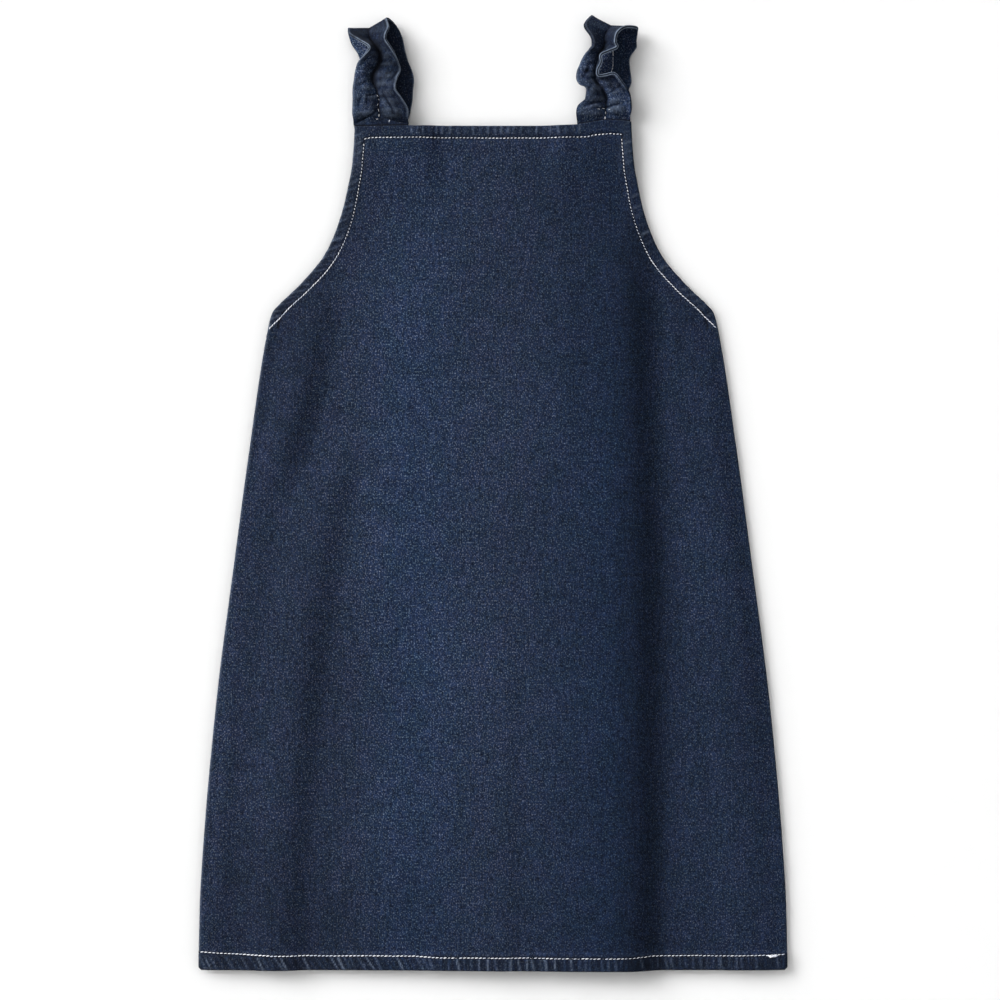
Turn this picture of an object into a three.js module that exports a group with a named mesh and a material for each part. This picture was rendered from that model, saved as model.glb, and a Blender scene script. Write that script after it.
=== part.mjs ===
// A child's denim pinafore dress, laid flat with its front up. An A-line front and back panel meet at
// the sides, and two gathered ruffle straps run from the bib's corners over the top to the back.
// Millimetres, +Z up. The dress lies on z = 0, with the hem towards -Y and the straps towards +Y.
// The origin is under the middle of its width and its overall length. "up" is a height above the hem,
// measured along +Y.
import * as THREE from "three";

// Driving dimensions
const OVERALL_LENGTH = 704; // hem to the top of the straps
const BIB_TOP = 623.5; // hem to the bib's top edge
const BACK_TOP = 620.5; // hem to the back panel's top edge, which the front hides
const UNDERARM = 485.5; // hem to the corner where the armhole meets the side
const HEM_HALF = 217.5; // half the width at the hem
const BIB_HALF = 102.1; // half the width at the bib's top edge
const CLOTH = 1.2; // one layer of denim
const TURNED_EDGE = 1.8; // the turned and topstitched neck and armhole edges
const HEM_FOLD = 2.4; // the hem, folded twice
const STRAP_CLOTH = 1.6; // the strap's two layers
const EDGE_BAND = 7; // neck or armhole edge to its topstitching
const HEM_DEPTH = 11; // hem edge to its topstitching
const BAND_FADE = 3; // how soon the thicker edge thins out past the topstitching
const EDGE_ROUND = 1.5; // the rounding at a panel's edge
const SEAM_GAP = 0.3; // between pieces that touch
const BACK_INSET = 0.8; // the back panel's edge inside the front's
const STRAP_CENTRE = 83; // the dress's centre line to the middle of a strap's seat

// Half the width of a panel at each height. The underarm corner is the row at UNDERARM.
const OUTLINE = [
  { up: 0, half: HEM_HALF - 2 },
  { up: 2.5, half: HEM_HALF },
  { up: 45, half: 216.8 },
  { up: 88, half: 214.4 },
  { up: 198, half: 204.5 },
  { up: 300, half: 191.4 },
  { up: 384, half: 180.1 },
  { up: 476.5, half: 165.7 },
  { up: UNDERARM, half: 163 },
  { up: 491.5, half: 157.9 },
  { up: 506.5, half: 142.2 },
  { up: 530.5, half: 123 },
  { up: 559.5, half: 111.6 },
  { up: 578, half: 107.2 },
  { up: 595.5, half: 103.8 },
  { up: BIB_TOP, half: BIB_HALF },
  { up: BIB_TOP + 10, half: BIB_HALF },
];

// The soft ridges left in the front by folding. The crest runs through three points, from its head to
// its foot, and the cloth falls away from it over fallLeft and fallRight. A ridge swells over fade.
const RIDGES = [
  { name: "broad dome", head: [10, 610], middle: [5, 300], foot: [5, 0],
    height: 3.2, fallLeft: 140, fallRight: 120, fade: 130, toHem: true },
  { name: "right roll", head: [94, 566], middle: [101, 280], foot: [99, 0],
    height: 7, fallLeft: 118, fallRight: 29, fade: 85, toHem: true },
  { name: "right side swell", head: [158, 470], middle: [176, 235], foot: [186, 0],
    height: 1.6, fallLeft: 26, fallRight: 34, fade: 60, toHem: true },
  { name: "left underarm ridge", head: [-126, 520], middle: [-142, 435], foot: [-167, 335],
    height: 4.2, fallLeft: 28, fallRight: 23, fade: 60, toHem: false },
  { name: "left lower ridge", head: [-112, 405], middle: [-139, 250], foot: [-158, 0],
    height: 3.6, fallLeft: 36, fallRight: 25, fade: 60, toHem: true },
  { name: "centre foot ridge", head: [7, 310], middle: [7, 150], foot: [6, 0],
    height: 1.5, fallLeft: 80, fallRight: 17, fade: 110, toHem: true },
];

// The bib's top edge is pulled up or down by the straps, most over the right one.
const CORNER_RISE = [
  { x: -103, rise: -1 },
  { x: -60, rise: -0.3 },
  { x: -34, rise: 0 },
  { x: 40, rise: 0 },
  { x: 60, rise: 0.4 },
  { x: 76, rise: 2.9 },
  { x: 83, rise: 3.8 },
  { x: 92, rise: 3.5 },
  { x: 103, rise: 2.6 },
];

// Each strap is one gathered band: a seam down its middle, and a ruffle on each side. A row is a
// section across it, from inside the bib, up the front, over the top and down the back. "across" and
// "up" are measured from the middle of the strap's seat, and z from what the dress lies on. "across"
// and "up" are as seen from SEEN_FROM, so that raised points are drawn in a little towards it.
const SEEN_FROM = new THREE.Vector3(5.2, -5, 1747);
const STRAP_COLUMNS = [
  "leftAcross", "leftUp", "leftZ", "seamAcross", "seamUp", "seamZ", "rightAcross", "rightUp", "rightZ",
];
const LEFT_STRAP = [
  [-18.5, -8, 4.2, 0.5, -8, 4.2, 20.5, -8, 4.2],
  [-19.8, 0, 4.2, 0, 0, 4.2, 20.5, 0, 4.2],
  [-20.2, 2.5, 4.3, -0.5, 2.5, 4, 20.4, 2.5, 4.4],
  [-20.4, 8, 6, -1, 8, 3.6, 20, 8, 7],
  [-20.2, 14, 7, -1.5, 14, 3.4, 19.2, 14, 9],
  [-20, 21, 7.5, -1.5, 21, 3.4, 15, 21, 11],
  [-20, 28, 7.5, -3, 27, 3.5, 10.5, 28, 13],
  [-19, 34.5, 8, -6, 34.5, 3.7, 11.5, 35.5, 12],
  [-18, 41, 8.5, -4.5, 41, 4, 14, 41.5, 9],
  [-16, 48, 11, -1, 47.5, 4.2, 12, 49, 11],
  [-11, 54, 15.5, -1, 54, 4.8, 8, 57, 14],
  [-8.5, 59, 17, -4, 59.5, 5.6, 3.5, 64, 16],
  [-16, 64, 14, -7.5, 64.5, 6.6, 3.5, 68.5, 16],
  [-23, 68.5, 10, -9, 69, 7.4, 5.5, 73.5, 14],
  [-23.5, 72, 5.6, -8.5, 72, 5.2, 4.2, 79.5, 8.5],
  [-23.5, 69, 1.8, -8, 70.5, 2.2, 9.5, 76, 2.6],
  [-21, 61, 1.2, -5, 62, 1, 14.8, 67, 2.2],
  [-16.5, 54, 1.6, -2, 54, 0.9, 17.3, 56, 3],
  [-14.5, 47.5, 1, 0, 47.5, 0.9, 19.4, 48.5, 1.6],
  [-15, 40, 0.9, 2, 40, 0.9, 22.8, 40, 2.6],
  [-15.5, 33, 0.9, 3, 33, 0.9, 23.8, 34, 3.4],
  [-16, 26, 0.9, 3, 26, 0.9, 23.2, 27, 2.2],
  [-16.5, 18, 0.9, 3, 18, 0.9, 22.6, 18.5, 1.4],
  [-17, 9, 0.9, 2.5, 9, 0.9, 21, 9.5, 1],
  [-17, 2, 0.9, 2, 2, 0.9, 20, 2, 0.9],
  [-17, -3, 2.3, 2, -3, 2.3, 20, -3, 2.3],
  [-17, -10, 2.3, 2, -10, 2.3, 20, -10, 2.3],
];
const RIGHT_STRAP = [
  [-19, -7, 4.2, 0, -5, 4.2, 18, -4, 4.2],
  [-20.5, 1, 4.2, 0.5, 3, 4.2, 18.6, 4.5, 4.2],
  [-20.7, 3.5, 4.3, 0.5, 5.5, 4, 18.4, 6.5, 4.4],
  [-20.6, 9.5, 6.5, 0.5, 9.5, 3.6, 18.7, 12, 6.5],
  [-19.2, 15.5, 7.5, 0.5, 15.5, 3.4, 18.2, 20, 8],
  [-13.5, 21, 9.5, 1, 21.5, 3.4, 16.6, 25.5, 9.5],
  [-13.5, 28.5, 10, -2, 28, 3.5, 12, 32.5, 12.5],
  [-18.5, 31.5, 9, -5, 32, 3.7, 6.5, 38.5, 14.5],
  [-20.5, 35.5, 8, -6.5, 36, 4, -0.5, 37.5, 16.5],
  [-20, 40.5, 7.5, -6.5, 40, 4, -5, 37.5, 17.5],
  [-18, 45.5, 8, -6, 44, 4.2, -5.5, 41.5, 18],
  [-16, 50, 9, -5, 48.5, 4.4, -3, 47, 17.5],
  [-13, 55, 11, -4, 53, 4.6, -3, 52.5, 17.5],
  [-9, 59.5, 14, -1.5, 57.5, 5, 2.5, 55.5, 17],
  [-8.5, 62.5, 15.5, -0.5, 61, 5.4, 8.5, 58.5, 16.5],
  [-10.5, 67.5, 15.5, -0.5, 64.5, 6, 7.5, 63, 17],
  [-14.6, 73.5, 14, 0.5, 68, 6.8, 9, 69.5, 16.5],
  [-14, 77.5, 11.5, 2.5, 71.6, 6.8, 15, 73.6, 14],
  [-9.8, 81.2, 7, 4, 74, 4.8, 23, 73, 8.5],
  [-10, 77, 2.4, 4.5, 71, 2.6, 23.4, 69.5, 3.4],
  [-9.5, 67, 1.2, 5, 63, 1, 22.6, 63.5, 1.8],
  [-9.5, 58, 0.9, 5, 56.5, 0.9, 22.4, 58, 2.8],
  [-12, 50.5, 0.9, 4.5, 50, 0.9, 17.6, 50.5, 1.4],
  [-14.4, 43, 0.9, 3.5, 43, 0.9, 17.7, 42.5, 1.4],
  [-13.8, 34.5, 0.9, 2.5, 34.5, 0.9, 18.8, 33, 2.8],
  [-13.4, 25.5, 0.9, 1.5, 25.5, 0.9, 16.4, 25.5, 1.6],
  [-15, 16.5, 0.9, 1, 16.5, 0.9, 16.8, 17, 1],
  [-16.4, 9, 0.9, 0.5, 9, 0.9, 17.2, 9.5, 0.9],
  [-16.6, 2, 0.9, 0.5, 2, 0.9, 17.4, 2, 0.9],
  [-17, -3, 2.3, 0.5, -3, 2.3, 18, -3, 2.3],
  [-17, -10, 2.3, 0.5, -10, 2.3, 18, -10, 2.3],
];
const RUFFLE_PUFF = 2.2; // how far a ruffle arches up between the seam and its edge
const GATHER_DEPTH = 0.9; // the small pleats that the seam pulls in
const GATHER_PITCH = 7.5; // along the seam, from one small pleat to the next
const FLAT_Z = 3; // below this a stretch lies flat, so it has no puff and no pleats
const ARCH_FROM = { from: 3.5, to: 10 }; // above the bib's top edge, where a ruffle starts to arch
const ARCH_ENDS = { from: 50, to: 66 }; // and where it flattens again to turn over the top

// The bib is lifted over the ends of the straps, which lie between it and the back panel.
const SEAT = { lift: 3.8, innerFrom: 34, innerTo: 53, foot: 558, top: 612 };

// How finely each piece is cut up
const ROWS_UP = [
  0, 1.5, 5, HEM_DEPTH, HEM_DEPTH + BAND_FADE, 20, 45, 70, 95, 120, 145, 170, 195, 220, 245, 270, 295,
  320, 345, 370, 395, 420, 445, 465, 476.5, UNDERARM, 491.5, 499, 506.5, 518, 530.5, 544, 559.5, 577,
  595, 606, BIB_TOP - EDGE_BAND - BAND_FADE, BIB_TOP - EDGE_BAND, 620, BIB_TOP - EDGE_ROUND, BIB_TOP,
];
const BACK_ROWS_UP = [
  BACK_INSET, BACK_INSET + EDGE_ROUND, HEM_DEPTH, HEM_DEPTH + BAND_FADE, 45, 88, 198, 300, 384, 476.5,
  UNDERARM, 491.5, 506.5, 518, 530.5, 544, 559.5, 577, 595.5, BACK_TOP - EDGE_ROUND, BACK_TOP,
];
const EDGE_INSETS = [0, EDGE_ROUND, 4, EDGE_BAND, EDGE_BAND + BAND_FADE];
const CORE_HALF = 70; // the panel's middle, where the columns stand upright
const CORE_COLUMNS = 8;
const FAN_COLUMNS = { left: 9, right: 13 }; // between the middle and the edge bands
const BACK_COLUMNS = 6;
const SECTIONS_A_ROW = 2; // strap sections for each row of its table
const RUFFLE_COLUMNS = 5; // from the strap's seam to each edge

const clamp = (value, low, high) => Math.min(high, Math.max(low, value));
const smooth = (from, to, value) => {
  const t = clamp((value - from) / (to - from), 0, 1);
  return t * t * (3 - 2 * t);
};

// A smooth curve through the rows of a table that never overshoots them (monotone cubic).
function curveThrough(rows, key, field) {
  const xs = rows.map((row) => row[key]);
  const ys = rows.map((row) => row[field]);
  const steps = xs.slice(1).map((x, i) => (ys[i + 1] - ys[i]) / (x - xs[i]));
  const slopes = ys.map((_, i) => {
    if (i === 0) return steps[0];
    if (i === ys.length - 1) return steps[i - 1];
    const [before, after] = [steps[i - 1], steps[i]];
    return before * after <= 0 ? 0 : (2 * before * after) / (before + after);
  });
  return (x) => {
    let i = 0;
    while (i < xs.length - 2 && x > xs[i + 1]) i += 1;
    const width = xs[i + 1] - xs[i];
    const t = (x - xs[i]) / width;
    const [t2, t3] = [t * t, t * t * t];
    return (
      ys[i] * (2 * t3 - 3 * t2 + 1) + slopes[i] * width * (t3 - 2 * t2 + t) +
      ys[i + 1] * (3 * t2 - 2 * t3) + slopes[i + 1] * width * (t3 - t2)
    );
  };
}

const halfWidthAt = curveThrough(OUTLINE, "up", "half");

// How much further a sideways step is than the same step square to the slanting edge.
function edgeLean(up) {
  const slope = halfWidthAt(up + 0.5) - halfWidthAt(up - 0.5);
  return Math.hypot(1, slope);
}

// A ridge's crest as a parabola through its three points, and its height there.
function ridgeHeight(ridge, x, up) {
  const [head, middle, foot] = [ridge.head, ridge.middle, ridge.foot];
  const term = (p, q, r) => (p[0] * (up - q[1]) * (up - r[1])) / ((p[1] - q[1]) * (p[1] - r[1]));
  const crest = term(head, middle, foot) + term(middle, head, foot) + term(foot, head, middle);
  const swell =
    smooth(head[1], head[1] - ridge.fade, up) *
    (ridge.toHem ? 1 : smooth(foot[1], foot[1] + ridge.fade, up));
  const fall = x < crest ? ridge.fallLeft : ridge.fallRight;
  const away = Math.min(1, Math.abs(x - crest) / fall);
  return ridge.height * swell * 0.5 * (1 + Math.cos(Math.PI * away));
}

// The ridges die out towards the side seams, where the front is held down to the back.
function drape(x, up) {
  const held = smooth(0, 16, halfWidthAt(up) - Math.abs(x));
  const ridges = RIDGES.reduce((sum, ridge) => sum + ridgeHeight(ridge, x, up), 0);
  const seat =
    SEAT.lift * smooth(SEAT.innerFrom, SEAT.innerTo, Math.abs(x)) * smooth(SEAT.foot, SEAT.top, up);
  return ridges * held + seat;
}

// How far into a turned edge or the hem a point is: 1 inside it, 0 past the fade.
const band = (depth, from) => 1 - smooth(depth, depth + BAND_FADE, from);

function clothThickness(up, inset, top) {
  const turned = Math.max(band(EDGE_BAND, top - up), up > UNDERARM ? band(EDGE_BAND, inset) : 0);
  return CLOTH + (TURNED_EDGE - CLOTH) * turned + (HEM_FOLD - CLOTH) * band(HEM_DEPTH, up);
}

// 0 at a panel's edge, 1 once past its rounding.
const edgeRound = (up, inset, top) => clamp(Math.min(inset, up, top - up) / EDGE_ROUND, 0, 1);

const cornerRiseAt = curveThrough(CORNER_RISE, "x", "rise");
const cornerRise = (x, up) => cornerRiseAt(clamp(x, -103, 103)) * smooth(SEAT.foot, SEAT.top, up);

// A panel's columns from left to right, as functions of the half width that give x and the inset.
function panelColumns(fans, coreColumns) {
  const edge = (side) => (inset) => (half, lean) => ({ x: side * (half - inset * lean), inset });
  const fan = (side, count) => (i) => (half, lean) => {
    const reach = half - EDGE_INSETS.at(-1) * lean - CORE_HALF;
    return { x: side * (CORE_HALF + (reach * i) / count), inset: Infinity };
  };
  const core = (i) => () => ({ x: CORE_HALF * (-1 + (2 * i) / coreColumns), inset: Infinity });
  const count = (n) => Array.from({ length: n }, (_, i) => i);
  return [
    ...EDGE_INSETS.map(edge(-1)),
    ...count(fans.left - 1).map((i) => fan(-1, fans.left)(fans.left - 1 - i)),
    ...count(coreColumns + 1).map(core),
    ...count(fans.right - 1).map((i) => fan(1, fans.right)(i + 1)),
    ...EDGE_INSETS.toReversed().map(edge(1)),
  ];
}

// A closed wall between two grids of points of the same size, one on each side of the cloth.
function wallGeometry(upper, lower) {
  const [rows, columns] = [upper.length, upper[0].length];
  const points = [...upper.flat(), ...lower.flat()];
  const at = (row, column) => row * columns + column;
  const below = rows * columns;
  const faces = [];
  const quad = (a, b, c, d) => faces.push(a, b, c, a, c, d);
  for (let r = 0; r < rows - 1; r += 1) {
    for (let c = 0; c < columns - 1; c += 1) {
      quad(at(r, c), at(r, c + 1), at(r + 1, c + 1), at(r + 1, c));
      quad(below + at(r, c), below + at(r + 1, c), below + at(r + 1, c + 1), below + at(r, c + 1));
    }
  }
  const rim = [];
  for (let c = 0; c < columns; c += 1) rim.push(at(0, c));
  for (let r = 1; r < rows; r += 1) rim.push(at(r, columns - 1));
  for (let c = columns - 2; c >= 0; c -= 1) rim.push(at(rows - 1, c));
  for (let r = rows - 2; r > 0; r -= 1) rim.push(at(r, 0));
  rim.forEach((from, i) => {
    const to = rim[(i + 1) % rim.length];
    quad(to, from, below + from, below + to);
  });
  const geometry = new THREE.BufferGeometry().setFromPoints(points);
  geometry.setIndex(faces);
  return geometry;
}

const frameY = (up) => up - OVERALL_LENGTH / 2;

function frontPanel() {
  const columns = panelColumns(FAN_COLUMNS, CORE_COLUMNS);
  const [upper, lower] = [[], []];
  for (const up of ROWS_UP) {
    const [half, lean] = [halfWidthAt(up), edgeLean(up)];
    const places = columns.map((column) => column(half, lean));
    const pointsAt = (height) =>
      places.map(({ x, inset }) => {
        const thickness = clothThickness(up, inset, BIB_TOP);
        const under = CLOTH + (HEM_FOLD - CLOTH) * band(HEM_DEPTH, up) + SEAM_GAP + drape(x, up);
        const pinch = 0.3 * thickness * (1 - edgeRound(up, inset, BIB_TOP));
        const z = height ? under + thickness - pinch : under + pinch;
        return new THREE.Vector3(x, frameY(up + cornerRise(x, up)), z);
      });
    upper.push(pointsAt(1));
    lower.push(pointsAt(0));
  }
  return wallGeometry(upper, lower);
}

function backPanel() {
  const columns = panelColumns({ left: 2, right: 2 }, BACK_COLUMNS);
  const [upper, lower] = [[], []];
  for (const up of BACK_ROWS_UP) {
    const [half, lean] = [halfWidthAt(up) - BACK_INSET, edgeLean(up)];
    const places = columns.map((column) => column(half, lean));
    const thickness = CLOTH + (HEM_FOLD - CLOTH) * band(HEM_DEPTH, up);
    upper.push(
      places.map(({ x, inset }) => {
        const pinch = 0.3 * thickness * (1 - edgeRound(up, inset, BACK_TOP));
        return new THREE.Vector3(x, frameY(up), thickness - pinch);
      }),
    );
    lower.push(places.map(({ x }) => new THREE.Vector3(x, frameY(up), 0)));
  }
  return wallGeometry(upper, lower);
}

// The strap's table drawn out into sections, by a Catmull-Rom curve through each column.
function strapSections(table) {
  const count = (table.length - 1) * SECTIONS_A_ROW;
  const blend = (a, b, c, d, t) =>
    0.5 * (2 * b + (c - a) * t + (2 * a - 5 * b + 4 * c - d) * t * t + (3 * b - a - 3 * c + d) * t ** 3);
  return Array.from({ length: count + 1 }, (_, i) => {
    const row = Math.min(table.length - 2, Math.floor(i / SECTIONS_A_ROW));
    const t = i / SECTIONS_A_ROW - row;
    const near = [-1, 0, 1, 2].map((step) => table[clamp(row + step, 0, table.length - 1)]);
    const values = STRAP_COLUMNS.map((_, c) => blend(...near.map((each) => each[c]), t));
    return Object.fromEntries(STRAP_COLUMNS.map((name, c) => [name, values[c]]));
  });
}

// One ruffle of a section, from the seam to the edge: it climbs steeply out of the seam and arches
// over, with the seam's small pleats near it. A ruffle that stands upright has no arch.
function rufflePoint(seam, edge, share, run) {
  const above = seam.y - frameY(BIB_TOP);
  const loose =
    smooth(FLAT_Z, FLAT_Z + 0.5, seam.z) *
    smooth(ARCH_FROM.from, ARCH_FROM.to, above) *
    smooth(ARCH_ENDS.to, ARCH_ENDS.from, above);
  const lying = Math.hypot(edge.x - seam.x, edge.y - seam.y) / edge.distanceTo(seam);
  const arch = (RUFFLE_PUFF * 4 + edge.z - seam.z) * lying ** 2 * loose * share * (1 - share);
  const pleat = loose * 6.75 * share * (1 - share) ** 2;
  const wave = GATHER_DEPTH * Math.sin((2 * Math.PI * run) / GATHER_PITCH) * pleat;
  const point = seam.clone().lerp(edge, share);
  point.z += arch + wave;
  return point;
}

function strap(table, centreX) {
  const sections = strapSections(table);
  const corner = (section, side) => {
    const [across, up, z] = ["Across", "Up", "Z"].map((field) => section[side + field]);
    const seen = new THREE.Vector3(centreX + across, frameY(BIB_TOP + up), 0);
    return seen.lerp(SEEN_FROM, z / SEEN_FROM.z);
  };
  let run = 0;
  const middle = sections.map((section, i) => {
    const seam = corner(section, "seam");
    if (i > 0) run += seam.distanceTo(corner(sections[i - 1], "seam"));
    const shares = Array.from({ length: RUFFLE_COLUMNS }, (_, k) => (k + 1) / RUFFLE_COLUMNS);
    const out = (side) => shares.map((share) => rufflePoint(seam, corner(section, side), share, run));
    return [...out("left").toReversed(), seam, ...out("right")];
  });
  return thickened(middle, STRAP_CLOTH);
}

// A wall of even thickness around a grid of points, held above what the dress lies on.
function thickened(middle, thickness) {
  const [rows, columns] = [middle.length, middle[0].length];
  const at = (r, c) => middle[clamp(r, 0, rows - 1)][clamp(c, 0, columns - 1)];
  const side = (sign) =>
    middle.map((row, r) =>
      row.map((point, c) => {
        const along = at(r + 1, c).clone().sub(at(r - 1, c));
        const across = at(r, c + 1).clone().sub(at(r, c - 1));
        const normal = across.cross(along).normalize();
        const moved = point.clone().addScaledVector(normal, (sign * thickness) / 2);
        moved.z = Math.max(moved.z, 0);
        return moved;
      }),
    );
  return wallGeometry(side(1), side(-1));
}

const denim = () => new THREE.MeshStandardMaterial({ color: 0x2b3a57, roughness: 0.92, metalness: 0 });

function piece(name, geometry) {
  geometry.computeVertexNormals();
  const mesh = new THREE.Mesh(geometry, denim());
  mesh.name = name;
  return mesh;
}

const dress = new THREE.Group();
dress.add(
  piece("front_panel", frontPanel()),
  piece("back_panel", backPanel()),
  piece("left_strap", strap(LEFT_STRAP, -STRAP_CENTRE)),
  piece("right_strap", strap(RIGHT_STRAP, STRAP_CENTRE)),
);

export default dress;
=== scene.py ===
# %% [markdown]
# A denim pinafore dress, laid flat.
# The real dress is two A-line panels of washed indigo twill, sewn at the sides, with a narrow hem and
# a turned, topstitched edge round the neck and armholes. A gathered ruffle strap runs from each corner
# of the bib over the top to the back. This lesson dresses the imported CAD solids: it takes their place
# with finer cloth of the same form, adds the sewing, and then the denim, the light and the camera.
# Sizes are in millimetres, "up" is the height above the hem, and MM turns both into Blender's metres.

import bpy
import numpy as np
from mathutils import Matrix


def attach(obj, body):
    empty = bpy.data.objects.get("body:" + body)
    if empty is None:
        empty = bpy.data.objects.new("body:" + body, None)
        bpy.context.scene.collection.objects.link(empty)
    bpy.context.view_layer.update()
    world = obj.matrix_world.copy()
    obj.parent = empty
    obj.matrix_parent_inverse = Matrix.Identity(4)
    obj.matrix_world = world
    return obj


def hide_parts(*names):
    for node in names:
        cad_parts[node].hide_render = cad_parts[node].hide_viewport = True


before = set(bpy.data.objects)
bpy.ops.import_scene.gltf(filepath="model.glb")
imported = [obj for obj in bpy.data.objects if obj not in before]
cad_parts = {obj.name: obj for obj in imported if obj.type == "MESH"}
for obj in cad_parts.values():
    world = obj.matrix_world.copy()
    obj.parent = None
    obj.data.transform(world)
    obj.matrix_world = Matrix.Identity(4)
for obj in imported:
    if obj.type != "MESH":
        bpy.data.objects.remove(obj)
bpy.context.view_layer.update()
MM = 0.001
OVERALL_LENGTH = 704  # hem to the top of the straps

# %% [markdown]
# The camera. A flat garment is photographed from straight above with a long lens, so that its edges
# stay straight and its sides are hidden. A normal lens close by would show the hem's thickness and
# swell the middle. The distance follows from the lens and from the width that the picture takes in.

# %% Camera
PICTURE_WIDTH = 740  # what the picture takes in at the cloth
PICTURE_CENTRE = (5.2, -5.0)  # the dress sits a little left of the middle and a little above it
LENS = 85
SENSOR = 36

camera_data = bpy.data.cameras.new("overhead")
camera_data.lens = LENS
camera_data.sensor_width = SENSOR
camera_data.clip_end = 60
camera = bpy.data.objects.new("overhead", camera_data)
bpy.context.scene.collection.objects.link(camera)
camera_height = PICTURE_WIDTH * LENS / SENSOR
camera.location = (PICTURE_CENTRE[0] * MM, PICTURE_CENTRE[1] * MM, camera_height * MM)
bpy.context.scene.camera = camera
print(f"camera {camera_height:.0f} mm above the cloth")

# %% [markdown]
# Curves from short tables. A pattern maker marks a few widths and joins them with a smooth line. The
# same idea gives the panel's outline here: a cubic curve through a few rows, whose slope is the
# harmonic mean of the steps on each side, so that it never bulges past a marked width.

# %% Curves and soft steps
def smooth(low, high, value):
    """0 before low, 1 after high, and a soft step between them. It also runs backwards."""
    t = np.clip((value - low) / (high - low), 0, 1)
    return t * t * (3 - 2 * t)


def curve_through(rows):
    """A function that goes smoothly through (x, y) rows and never overshoots them."""
    xs, ys = np.array(rows, float).T
    steps = np.diff(ys) / np.diff(xs)
    slopes = np.zeros(len(xs))
    slopes[0] = steps[0]
    slopes[-1] = steps[-1]
    for i in range(1, len(xs) - 1):
        if steps[i - 1] * steps[i] > 0:
            slopes[i] = 2 * steps[i - 1] * steps[i] / (steps[i - 1] + steps[i])

    def value(x):
        x = np.asarray(x, float)
        i = np.clip(np.searchsorted(xs, x, side="right") - 1, 0, len(xs) - 2)
        width = xs[i + 1] - xs[i]
        t = (x - xs[i]) / width
        start = ys[i] * (2 * t**3 - 3 * t**2 + 1) + slopes[i] * width * (t**3 - 2 * t**2 + t)
        return start + ys[i + 1] * (3 * t**2 - 2 * t**3) + slopes[i + 1] * width * (t**3 - t**2)

    return value


def frame_y(up):
    """The frame's Y of a height above the hem: the origin is at half the overall length."""
    return up - OVERALL_LENGTH / 2


# %% [markdown]
# The cut of a panel. Front and back have one outline: nearly straight sides that spread from the
# underarm to the hem, a soft corner under the arm, and a hollow armhole up to the bib. Each row gives
# half the width at a height above the hem.

# %% The outline
BIB_TOP = 623.5
BACK_TOP = 620.5  # the back panel ends just below the bib, which hides it
UNDERARM = 485.5
HEM_HALF = 217.5
BIB_HALF = 102.1
OUTLINE = [
    (0, HEM_HALF - 2),
    (2.5, HEM_HALF),
    (45, 216.8),
    (88, 214.4),
    (198, 204.5),
    (300, 191.4),
    (384, 180.1),
    (476.5, 165.7),
    (UNDERARM, 163),
    (491.5, 157.9),
    (506.5, 142.2),
    (530.5, 123),
    (559.5, 111.6),
    (578, 107.2),
    (595.5, 103.8),
    (BIB_TOP, BIB_HALF),
    (BIB_TOP + 10, BIB_HALF),
]
half_width = curve_through(OUTLINE)


def edge_lean(up):
    """How much longer a sideways step is than the same step square to the slanting edge."""
    return np.hypot(1, half_width(up + 0.5) - half_width(up - 0.5))


print(f"width at the hem {2 * half_width(10):.0f} mm, at the bib {2 * half_width(620):.0f} mm")

# %% [markdown]
# The folds. Washed denim keeps the long soft rolls that it was hung or carried with. They could be
# sculpted, or settled with a cloth simulation, but these few are plain to see, so each is given: a
# crest through three points (x, up), a height, and how far the cloth falls away on each side.
# A steep fall on the right of a broad roll throws part of its dark band, and painted shade in the broad tone
# adds the rest. A trough has a height below 0.

# %% Ridges and troughs
RIDGE_COLUMNS = ("head", "middle", "foot", "height", "fall_left", "fall_right", "fade", "to_hem")
RIDGES = [
    ((10, 610), (5, 300), (5, 0), 3.2, 140, 120, 130, True),
    ((94, 566), (101, 280), (99, 0), 7.0, 118, 29, 85, True),
    ((158, 470), (176, 235), (186, 0), 1.6, 26, 34, 60, True),
    ((-126, 520), (-142, 435), (-167, 335), 4.2, 28, 23, 60, False),
    ((-112, 405), (-139, 250), (-158, 0), 3.6, 36, 25, 60, True),
    ((7, 310), (7, 150), (6, 0), 1.5, 80, 17, 110, True),
]
SMALL_FOLDS = [
    ((-88, 592), (-86, 580), (-83, 565), -0.3, 10, 10, 14, False),
    ((50, 600), (54, 470), (56, 330), 0.45, 20, 16, 90, False),
    ((-60, 560), (-72, 400), (-80, 210), 0.5, 34, 30, 110, False),
    ((130, 440), (137, 300), (141, 120), -0.5, 14, 16, 80, False),
    ((-190, 330), (-197, 180), (-204, 30), 0.6, 14, 12, 70, True),
]


def crest_line(ridge, up):
    """The crest's x at a height: a parabola through the ridge's three points."""
    head, middle, foot = ridge["head"], ridge["middle"], ridge["foot"]

    def share(p, q, r):
        return p[0] * (up - q[1]) * (up - r[1]) / ((p[1] - q[1]) * (p[1] - r[1]))

    return share(head, middle, foot) + share(middle, head, foot) + share(foot, head, middle)


def ridge_height(ridge, x, up):
    crest = crest_line(ridge, up)
    swell = smooth(ridge["head"][1], ridge["head"][1] - ridge["fade"], up)
    if not ridge["to_hem"]:
        swell = swell * smooth(ridge["foot"][1], ridge["foot"][1] + ridge["fade"], up)
    fall = np.where(x < crest, ridge["fall_left"], ridge["fall_right"])
    away = np.minimum(1, np.abs(x - crest) / fall)
    return ridge["height"] * swell * 0.5 * (1 + np.cos(np.pi * away))


def named(table):
    return [dict(zip(RIDGE_COLUMNS, row)) for row in table]


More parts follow.
